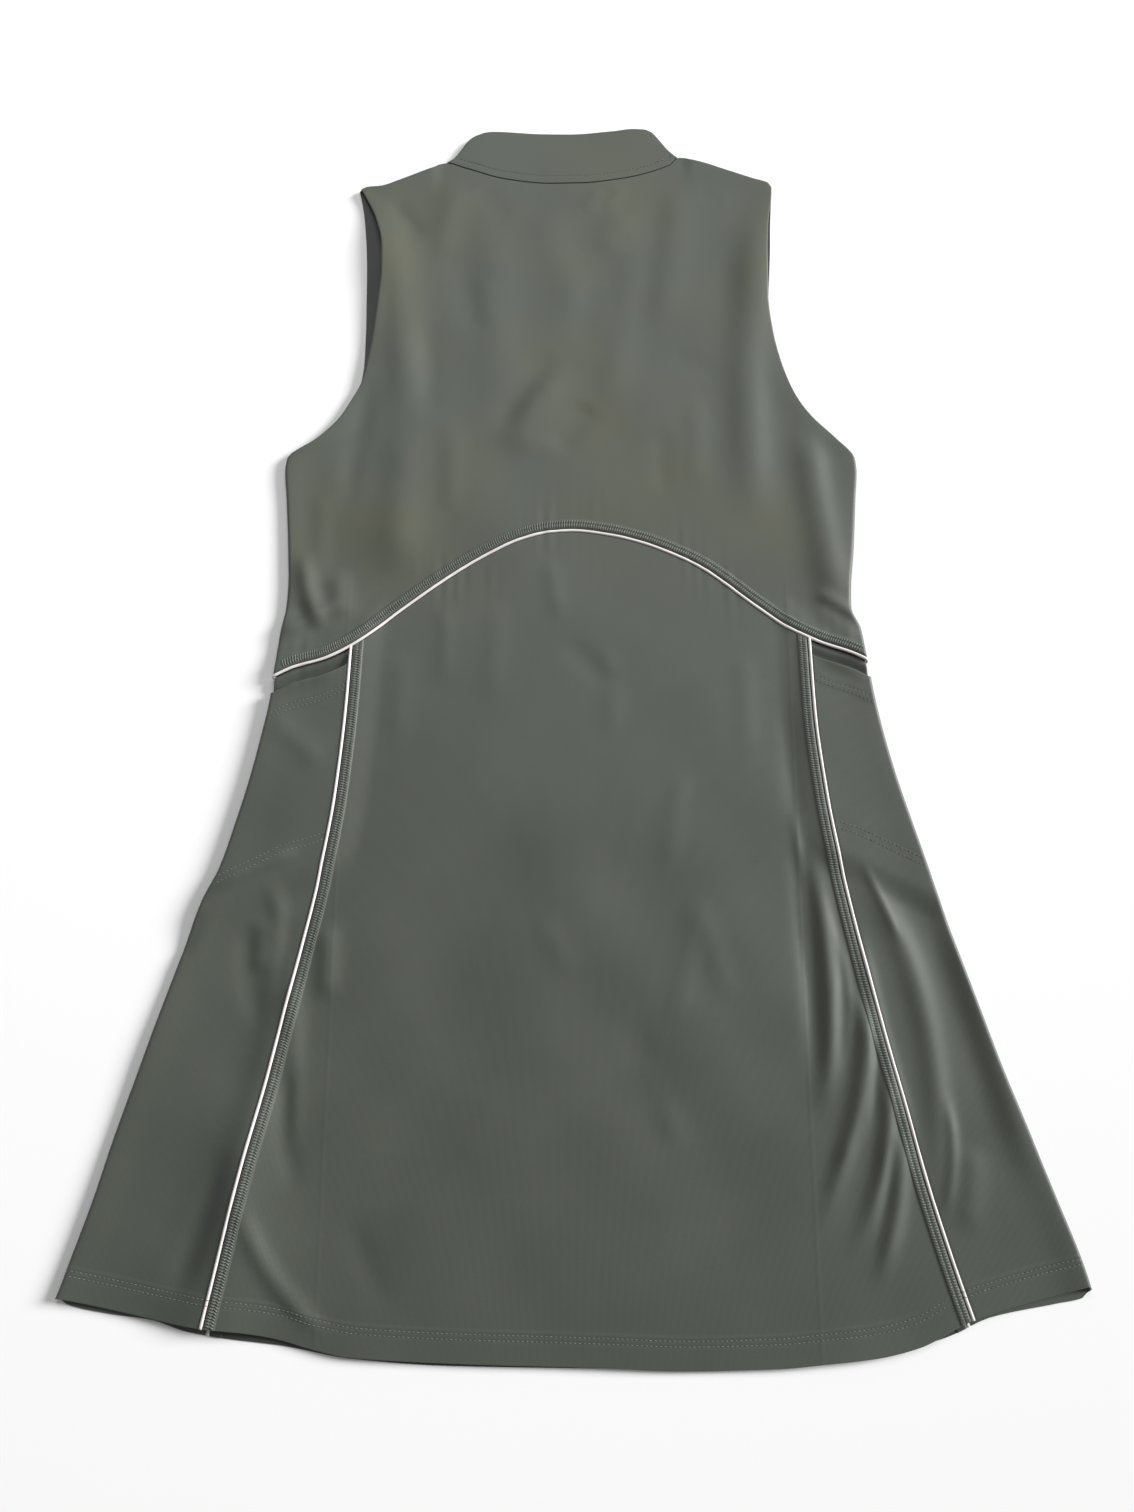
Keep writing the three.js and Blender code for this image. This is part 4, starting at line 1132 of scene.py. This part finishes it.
def cloth_material(name, light, dark, pressed=False, shade_inside_up=False):
    """A smooth stretch knit: fine wales and courses, a soft sheen and a slightly uneven colour, with
    olive patches of painted warm light high up and, on the front's inside, painted shade where it faces
    up.
    """
    made, tree, shader = new_material(name)
    place = tree.nodes.new("ShaderNodeTexCoord").outputs["Object"]
    cloudy = noise_node(tree, place, scale=11.0, detail=3.0)
    flecks = noise_node(tree, place, scale=900.0, detail=2.0)
    faint = math_node(tree, "MULTIPLY", flecks, FLECK_SHARE)
    shade = math_node(tree, "ADD", cloudy, faint)
    factor = range_node(tree, shade, 0.45, 0.9)
    colour = mixed_colour(tree, factor, dark, light)
    axes = tree.nodes.new("ShaderNodeSeparateXYZ")
    tree.links.new(place, axes.inputs["Vector"])
    # Painted warm light: olive patches, only on the upper part of the dress.
    uneven = noise_node(tree, place, scale=7.0, detail=2.0)
    patches = range_node(tree, uneven, 0.42, 0.62)
    high = range_node(tree, axes.outputs["Y"], *PAINTED_LIGHT_HEIGHTS)
    painted_light_share = math_node(tree, "MULTIPLY", patches, high)
    colour = mixed_colour(tree, painted_light_share, colour, OLIVE_PAINTED_LIGHT)
    # Painted shade on the front's up-facing inside, which lies under the back layer.
    if shade_inside_up:
        facing = tree.nodes.new("ShaderNodeSeparateXYZ")
        geometry = tree.nodes.new("ShaderNodeNewGeometry")
        tree.links.new(geometry.outputs["Normal"], facing.inputs["Vector"])
        inside = range_node(tree, facing.outputs["Z"], -0.1, 0.3)
        colour = mixed_colour(tree, inside, colour, INSIDE_SHADE_COLOUR)
    tree.links.new(colour, shader.inputs["Base Color"])
    roughness = range_node(tree, cloudy, 0.3, 0.7, to_low=0.5, to_high=0.58)
    tree.links.new(roughness, shader.inputs["Roughness"])
    shader.inputs["Specular IOR Level"].default_value = 0.55
    shader.inputs["Sheen Weight"].default_value = 0.25
    shader.inputs["Sheen Roughness"].default_value = 0.45
    shader.inputs["Sheen Tint"].default_value = (0.8, 0.92, 1.0, 1)
    wales = wave_node(tree, place, scale=WALE, direction="X", distortion=0.6)
    courses = wave_node(tree, place, scale=COURSE, direction="Y", distortion=0.6)
    faint = math_node(tree, "MULTIPLY", courses, COURSE_SHARE)
    knit = math_node(tree, "ADD", wales, faint)
    knit = math_node(tree, "ADD", knit, flecks)
    normal = bump_node(tree, knit, strength=0.3, distance=0.00012)
    if pressed:
        lines = [press_line(tree, axes.outputs["X"], x) for x in PRESS_LINES]
        both = math_node(tree, "MAXIMUM", *lines)
        low = range_node(tree, axes.outputs["Y"], *PRESS_RANGE, to_low=1.0, to_high=0.0)
        both = math_node(tree, "MULTIPLY", both, low)
        normal = bump_node(tree, both, strength=0.15, distance=0.0005, before=normal)
    tree.links.new(normal, shader.inputs["Normal"])
    return made


def piping_material():
    """Bright satin tape drawn round a cord, with its fine diagonal twill."""
    made, tree, shader = new_material("piping_satin")
    place = tree.nodes.new("ShaderNodeTexCoord").outputs["Object"]
    twill = wave_node(tree, place, scale=300.0, direction="DIAGONAL", distortion=1.5)
    soil = noise_node(tree, place, scale=60.0, detail=3.0)
    factor = range_node(tree, soil, 0.35, 0.7)
    colour = mixed_colour(tree, factor, SATIN_DARK, SATIN_LIGHT)
    tree.links.new(colour, shader.inputs["Base Color"])
    shader.inputs["Roughness"].default_value = 0.42
    shader.inputs["Sheen Weight"].default_value = 0.1
    normal = bump_node(tree, twill, strength=0.15, distance=0.0001)
    tree.links.new(normal, shader.inputs["Normal"])
    return made


def thread_material(name, light, dark):
    """Twisted polyester thread in the colour of the cloth."""
    made, tree, shader = new_material(name)
    place = tree.nodes.new("ShaderNodeTexCoord").outputs["Object"]
    uneven = noise_node(tree, place, scale=240.0, detail=2.0)
    factor = range_node(tree, uneven, 0.35, 0.65)
    colour = mixed_colour(tree, factor, dark, light)
    tree.links.new(colour, shader.inputs["Base Color"])
    shader.inputs["Roughness"].default_value = 0.4
    shader.inputs["Sheen Weight"].default_value = 0.15
    twist = wave_node(tree, place, scale=700.0, direction="DIAGONAL", distortion=1.0)
    normal = bump_node(tree, twist, strength=0.3, distance=0.0001)
    tree.links.new(normal, shader.inputs["Normal"])
    return made


cloth = cloth_material("cloth_knit", CLOTH_LIGHT, CLOTH_DARK, pressed=True)
# The front's knit carries painted shade on its up-facing inside.
front_shaded_cloth = cloth_material("front_knit_shaded", CLOTH_LIGHT, CLOTH_DARK, shade_inside_up=True)
# The pocket bag's darker knit is painted shade inside the pocket's mouth.
pocket_shaded_cloth = cloth_material("pocket_knit_shaded", POCKET_SHADED_LIGHT, POCKET_SHADED_DARK)
satin = piping_material()
band_thread = thread_material("band_thread", BAND_THREAD_LIGHT, BAND_THREAD_DARK)
row_thread = thread_material("row_thread", ROW_THREAD_LIGHT, ROW_THREAD_DARK)

# Grid lines that follow the sewing beside each border, as distances from that border.
BAND_LINES = np.array([
    1.9, 2.2, 2.5, 2.9, 3.4, 4.0, 4.7, 5.2, 5.5, 5.75, 6.0, 6.3, 6.8, 7.5, 8.1, 8.5, 8.85, 9.2, 9.8, 11,
]) - SEAM_INSET
HEM_LINES = (RIM, 1, 1.6, 2.6, 4.5, 7, 9.5, 12, 13.4, 14.1, 14.6, 15.1, 15.8, 16.8, 17.5, 18, 18.5,
             19.2, 20, 20.7, 21.4, 22.2)
MOUTH_LINES = (RIM, 1, 1.6, 2.6, 5, 8, 11, 13.4, 14.3, 15, 15.7, 17, 18.3, 19, 19.7, 20.6, 21.4, 22.2)
NECK_LINES = (RIM, 0.9, 1.5, 2.4, 3.6, 5, 5.8, 6.3, 6.7, 7, 7.3, 7.7, 8.3, 9.5, 11)
EDGE_LINES = (RIM, 0.9, 1.5, 2.5)

# The front lies on its face. Its sewing is flush with that face, in slight recesses.
FRONT_RECESS = 0.5


def front_band(distance):
    return FRONT_RECESS * band_share(distance)


def front_rows(x, y):
    up = (y - front_hem(x)) / spread(front_hem, x)
    return -row_groove(up, HEM_ROWS)


def front_bodice_face(x, y):
    return front_band((y - front_waist(x)) / spread(front_waist, x))


def front_skirt_face(x, y):
    from_left = (x - front_seam_left(y)) / spread(front_seam_left, y)
    from_right = (front_seam_right(y) - x) / spread(front_seam_right, y)
    return front_band(from_left) + front_band(from_right) + front_rows(x, y)


def side_curl(y):
    """The sides curl through a quarter turn up to the armholes, which lie open."""
    return lerp(QUARTER, OPEN_EDGE_CURL, smooth((y - UNDERARM) / UNDERARM_LENGTH))


def shoulder_curl(x):
    return lerp(SEAM_CURL, QUARTER, shoulder_share(x))


def make_bodices():
    curls = {"left": side_curl, "right": side_curl, "top": shoulder_curl}
    back = layer_grid(
        back_left, back_right, moved(arch, SEAM_INSET), moved(back_top, -SEAM_GAP / 2),
        stations(count=262, roll_first=True, roll_last=True),
        stations(count=112, first=BAND_LINES, last=EDGE_LINES, roll_last=True),
        bodice_height, curls=curls,
    )
    shape = wall(back, face_up=True, column=140)
    onto("back_bodice", mesh_object("bodice_back", *shape, cloth))
    front = layer_grid(
        front_left, front_right, moved(front_waist, FRONT_BODICE_INSET), moved(front_top, -SEAM_GAP / 2),
        stations(count=90, roll_first=True, roll_last=True),
        stations(count=46, first=BAND_LINES, roll_last=True),
        front_bodice_face, underside=True, curls=curls,
    )
    shape = wall(front, face_up=False, column=50)
    onto("front_bodice", mesh_object("bodice_front", *shape, front_shaded_cloth))


def make_skirts():
    back = layer_grid(
        moved(back_seam_left, SEAM_INSET), moved(back_seam_right, -SEAM_INSET),
        back_hem, moved(arch, -SEAM_INSET),
        stations(count=200, first=BAND_LINES, last=BAND_LINES),
        stations(count=128, first=HEM_LINES, last=EDGE_LINES),
        skirt_height,
    )
    shape = wall(back, face_up=True, column=120)
    onto("back_skirt", mesh_object("skirt_back", *shape, cloth))
    front = layer_grid(
        moved(front_seam_left, SEAM_INSET), moved(front_seam_right, -SEAM_INSET),
        front_hem, moved(front_waist, -SEAM_INSET),
        stations(count=70, first=BAND_LINES, last=BAND_LINES),
        stations(count=60, first=HEM_LINES),
        front_skirt_face, underside=True,
    )
    shape = wall(front, face_up=False, column=55)
    onto("front_skirt", mesh_object("skirt_front", *shape, front_shaded_cloth))


SIDES = {
    "left": (-1, back_seam_left, front_seam_left),
    "right": (1, back_seam_right, front_seam_right),
}


def make_side(name):
    side, seam_back, seam_front = SIDES[name]
    seams = moved(seam_back, side * SEAM_INSET), moved(seam_front, side * SEAM_INSET)
    panel = side_grid(
        side, *seams,
        lambda x: arch(x) - POCKET_MOUTH_DROP, lambda x: front_waist(x) - POCKET_MOUTH_DROP,
        back_hem, front_hem, stations(count=140, first=MOUTH_LINES, last=HEM_LINES),
        upper_steps=46, lower_steps=20, height=side_height, face=front_rows, sunk=0,
    )
    made = mesh_object(f"side_{name}", *wall(panel, face_up=True, column=10), cloth)
    onto(f"side_panel_{name}", made)
    backing = side_grid(
        side, *seams,
        moved(arch, -SEAM_INSET), moved(front_waist, -SEAM_INSET),
        lambda x: arch(x) - POCKET_DEPTH, lambda x: front_waist(x) - POCKET_DEPTH,
        stations(count=56), upper_steps=26, lower_steps=12,
        height=backing_height, face=lambda x, y: 0 * x, sunk=WALL + POCKET_GAP,
    )
    made = mesh_object(f"pocket_bag_{name}", *wall(backing, face_up=True, column=6), pocket_shaded_cloth)
    onto(f"pocket_backing_{name}", made)


def make_collar():
    rows = stations(count=18, first=NECK_LINES, last=EDGE_LINES)
    ring = collar_grid(upper_steps=110, lower_steps=50, rows=rows)
    shape = wall(ring, face_up=True, column=55, ring=True)
    onto("collar", mesh_object("stand_collar", *shape, cloth))


piping_noise = soft_noise(seed=11, count=6, shortest=9, longest=40)


def piping_mesh(name, parts, closed):
    path, outward, half = (np.concatenate(part) for part in zip(*parts))
    scale = 1 + PIPING_UNEVEN * piping_noise(path[:, 0], path[:, 1])
    shape = strip(path, outward, half * scale, PIPING_RADIUS * scale, PIPING_SIDES, closed)
    return mesh_object(name, *shape, satin)


def on_back(x, y):
    """Places, outward directions and half heights of piping on the back."""
    up = np.zeros((len(x), 3))
    up[:, 2] = 1
    centre = np.stack([x, y, cloth_height(x, y) - PIPING_SINK], axis=-1)
    return centre, up, np.full(len(x), PIPING_RADIUS)


def on_front(x, y):
    down = np.zeros((len(x), 3))
    down[:, 2] = -1
    centre = np.stack([x, y, np.full(len(x), WALL / 2)], axis=-1)
    return centre, down, np.full(len(x), WALL / 2)


def make_waist_piping():
    """It runs over the back, round the right side, along the front and round the left side."""
    x_from = float(back_left(ARCH["y"][0])) + EDGE_RADIUS
    x_to = float(back_right(ARCH["y"][-1])) - EDGE_RADIUS

    def fold_over(x, side):
        angle = side * lerp(QUARTER, -QUARTER, np.linspace(0, 1, ARC_STEPS + 1)[1:-1])
        radius = cloth_height(x, arch(x)) / 2
        down = (1 - np.sin(angle)) / 2
        sink = lerp(PIPING_SINK, WALL / 2, down)
        on_edge = x + side * EDGE_RADIUS * np.cos(angle)
        centre = np.stack([
            on_edge - side * sink * np.cos(angle),
            lerp(arch(on_edge), front_waist(on_edge), smooth(down)),
            radius + (radius - sink) * np.sin(angle),
        ], axis=-1)
        outward = np.stack([side * np.cos(angle), 0 * angle, np.sin(angle)], axis=-1)
        return centre, outward, lerp(PIPING_RADIUS, WALL / 2, down)

    x_back = even_places(arch, x_from, x_to, PIPING_STEP)
    x_front = even_places(front_waist, x_from, x_to, PIPING_STEP)[::-1]
    made = piping_mesh("waist_cord", [
        on_back(x_back, arch(x_back)),
        fold_over(x_to, 1),
        on_front(x_front, front_waist(x_front)),
        fold_over(x_from, -1),
    ], closed=True)
    onto("waist_piping", made)


def seam_ends(seam, waist, hem):
    """The heights between which a vertical seam's piping runs, from just under the waist piping."""
    top = meet(moved(waist, -PIPING_RADIUS / 2), seam)
    return float(top), float(meet(hem, seam))


def make_seam_piping(name):
    _, seam_back, seam_front = SIDES[name]
    for layer, seam, waist, hem, place in (
        ("back", seam_back, arch, back_hem, on_back),
        ("front", seam_front, front_waist, front_hem, on_front),
    ):
        top, bottom = seam_ends(seam, waist, hem)
        y = np.linspace(top, bottom, int((top - bottom) / PIPING_STEP))
        made = piping_mesh(f"{layer}_cord_{name}", [place(seam(y), y)], closed=False)
        onto(f"{layer}_piping_{name}", made)


def flattened(shape):
    """The same stitch pressed to half its height."""
    points, faces = shape
    return points * (1, 1, THREAD_PRESSED), faces


def sew(name, shape, lines, height, material, underside=False):
    """One piece from a stitch at each place of some lines."""
    parts = [frames_on(*line, height, underside) for line in lines]
    frames = [np.concatenate(part) for part in zip(*parts)]
    shape = flattened(shape) if underside else shape
    return onto(None, copies(name, shape, frames, material))


def shifted(line, distance):
    """A line of sewing moved to its left by a distance."""
    x, y, direction = line
    return x - direction[:, 1] * distance, y + direction[:, 0] * distance, direction


def reversed_line(line):
    x, y, direction = line
    return x, y, -direction


def band_line(line, side):
    """The middle of a band of stitches on the left, 1, or the right, -1, of a seam's line. It runs so
    that its bars lie next to the piping."""
    moved_line = shifted(line, side * BAND_MIDDLE)
    return moved_line if side > 0 else reversed_line(moved_line)


def make_bands():
    """Bands of coverstitch above the waist piping and inside the vertical piping."""
    x_from, x_to = ARCH["x"][0] + BAND_END_GAP, ARCH["x"][-1] - BAND_END_GAP
    waist = band_line(line_across(arch, x_from, x_to, STITCH_PITCH), 1)
    sew("waist_band_back", BAND_STITCH, [waist], bodice_height, band_thread)
    waist = band_line(line_across(front_waist, x_from, x_to, STITCH_PITCH), 1)
    sew("waist_band_front", BAND_STITCH, [waist], front_bodice_face, band_thread, underside=True)
    for name, (side, seam_back, seam_front) in SIDES.items():
        top, bottom = seam_ends(seam_back, arch, back_hem)
        line = line_down(seam_back, bottom + BAND_SEAM_END_GAP, top - BAND_SEAM_END_GAP, STITCH_PITCH)
        line = band_line(line, side)
        sew(f"seam_band_back_{name}", BAND_STITCH, [line], skirt_height, band_thread)
        top, bottom = seam_ends(seam_front, front_waist, front_hem)
        line = line_down(seam_front, bottom + BAND_SEAM_END_GAP, top - BAND_SEAM_END_GAP, STITCH_PITCH)
        line = band_line(line, side)
        piece = f"seam_band_front_{name}"
        sew(piece, BAND_STITCH, [line], front_skirt_face, band_thread, underside=True)


def span_inside(seam, silhouette, curve, side, inner):
    """The places between a vertical seam and the outline, along a curve across them."""
    at_seam = float(seam(curve(seam(0.0)))) + inner
    for _ in range(MEETING_ROUNDS):
        at_seam = float(seam(curve(at_seam))) + inner
    at_fold = float(silhouette(curve(at_seam + side * SIDE_SEARCH)))
    for _ in range(MEETING_ROUNDS):
        at_fold = float(silhouette(curve(at_fold)))
    return sorted([at_seam, at_fold - side * EDGE_RADIUS])


def make_rows():
    """Rows of plain stitches: the hem, the pocket mouths, the bottoms of the bags and the neck."""
    hem = [moved(back_hem, row) for row in HEM_ROWS]
    lines = []
    for row in hem:
        left = span_inside(back_seam_left, back_left, row, -1, 0)
        right = span_inside(back_seam_right, back_right, row, 1, 0)
        start = left[1] + BAND_END + ROW_BAND_GAP
        end = right[0] - BAND_END - ROW_BAND_GAP
        lines.append(line_across(row, start, end, ROW_PITCH))
    sew("hem_rows_back", ROW_STITCH_SHAPE, lines, skirt_height, row_thread)
    front = [moved(front_hem, row) for row in HEM_ROWS]
    lines = [line_across(row, *FRONT_ROW_ENDS, ROW_PITCH) for row in front]
    sew("hem_rows_front", ROW_STITCH_SHAPE, lines, front_skirt_face, row_thread, underside=True)
    for name, (side, seam_back, _) in SIDES.items():
        silhouette = back_left if side < 0 else back_right
        mouth = [(lambda x, row=row: arch(x) - POCKET_MOUTH_DROP - row) for row in MOUTH_ROWS]
        bag = [(lambda x, row=row: arch(x) - row) for row in BAG_ROWS]
        inner = side * (SEAM_INSET + ROW_SEAM_GAP)
        lines = []
        for curve in hem + mouth + bag:
            start, end = span_inside(seam_back, silhouette, curve, side, inner)
            lines.append(line_across(curve, start, end, ROW_PITCH))
        sew(f"side_rows_{name}", ROW_STITCH_SHAPE, lines, side_height, row_thread)
    for name, (_, seam_back, _) in SIDES.items():
        y = np.array([float(meet(row, seam_back)) for row in hem])
        across = np.tile((1.0, 0.0, 0.0), (len(y), 1))
        ticks = seam_back(y), y, across
        sew(f"hem_ticks_{name}", TICK, [ticks], cloth_height, row_thread)
    start, end = NECK_LEFT + NECK_ROW_END_GAP, NECK_RIGHT - NECK_ROW_END_GAP
    neck = line_across(moved(back_top, NECK_ROW), start, end, ROW_PITCH)
    sew("neck_row", ROW_STITCH_SHAPE, [neck], collar_height, row_thread)


make_bodices()
make_skirts()
make_collar()
for side_name in SIDES:
    make_side(side_name)
    make_seam_piping(side_name)
make_waist_piping()
make_bands()
make_rows()

# The studio, in metres.
FLOOR_SIZE = 12
FLOOR_COLOUR = (0.96, 0.96, 0.96)
FLOOR_ROUGHNESS = 0.9
SUN_PLACE = (1.0, 0.32, 0.4)
SUN_ANGLE = math.radians(20)
SUN_STRENGTH = 5.3
FILL_PLACE = (0.0, 1.0, 1.4)
FILL_SIZE = 1.0
FILL_POWER = 10.0
WORLD_STRENGTH = 0.24
CAMERA_PLACE = (-0.0046, -0.2445, 0.782)
CAMERA_TILT = math.radians(12.9)
CAMERA_LENS = 26
CAMERA_SENSOR = 36


def add_light(data, place, strength):
    """A light at a place, turned towards the middle of the floor."""
    data.energy = strength
    light = bpy.data.objects.new(data.name, data)
    bpy.context.scene.collection.objects.link(light)
    light.location = place
    tilt = math.atan2(math.hypot(place[0], place[1]), place[2])
    light.rotation_euler = (tilt, 0, math.atan2(place[1], place[0]) + QUARTER)


def make_stage():
    """A pale floor, a soft light from the upper right and a wide weak one above."""
    bpy.ops.mesh.primitive_plane_add(size=FLOOR_SIZE, location=(0, 0, 0))
    floor = bpy.context.object
    floor.name = "floor"
    made, _, shader = new_material("pale_floor")
    shader.inputs["Base Color"].default_value = (*FLOOR_COLOUR, 1)
    shader.inputs["Roughness"].default_value = FLOOR_ROUGHNESS
    floor.data.materials.append(made)
    sun = bpy.data.lights.new("key", "SUN")
    sun.angle = SUN_ANGLE
    add_light(sun, SUN_PLACE, SUN_STRENGTH)
    fill = bpy.data.lights.new("fill", "AREA")
    fill.size = FILL_SIZE
    add_light(fill, FILL_PLACE, FILL_POWER)
    world = bpy.data.worlds.new("studio")
    bpy.context.scene.world = world
    world.use_nodes = True
    background = world.node_tree.nodes["Background"]
    background.inputs["Color"].default_value = (1, 1, 1, 1)
    background.inputs["Strength"].default_value = WORLD_STRENGTH
    bpy.context.scene.view_settings.view_transform = "Standard"


def make_camera():
    """It stands over the waist and leans a little towards the collar."""
    data = bpy.data.cameras.new("camera")
    data.lens = CAMERA_LENS
    data.sensor_width = CAMERA_SENSOR
    camera = bpy.data.objects.new("camera", data)
    bpy.context.scene.collection.objects.link(camera)
    camera.location = CAMERA_PLACE
    camera.rotation_euler = (CAMERA_TILT, 0, 0)
    bpy.context.scene.camera = camera


make_camera()
make_stage()
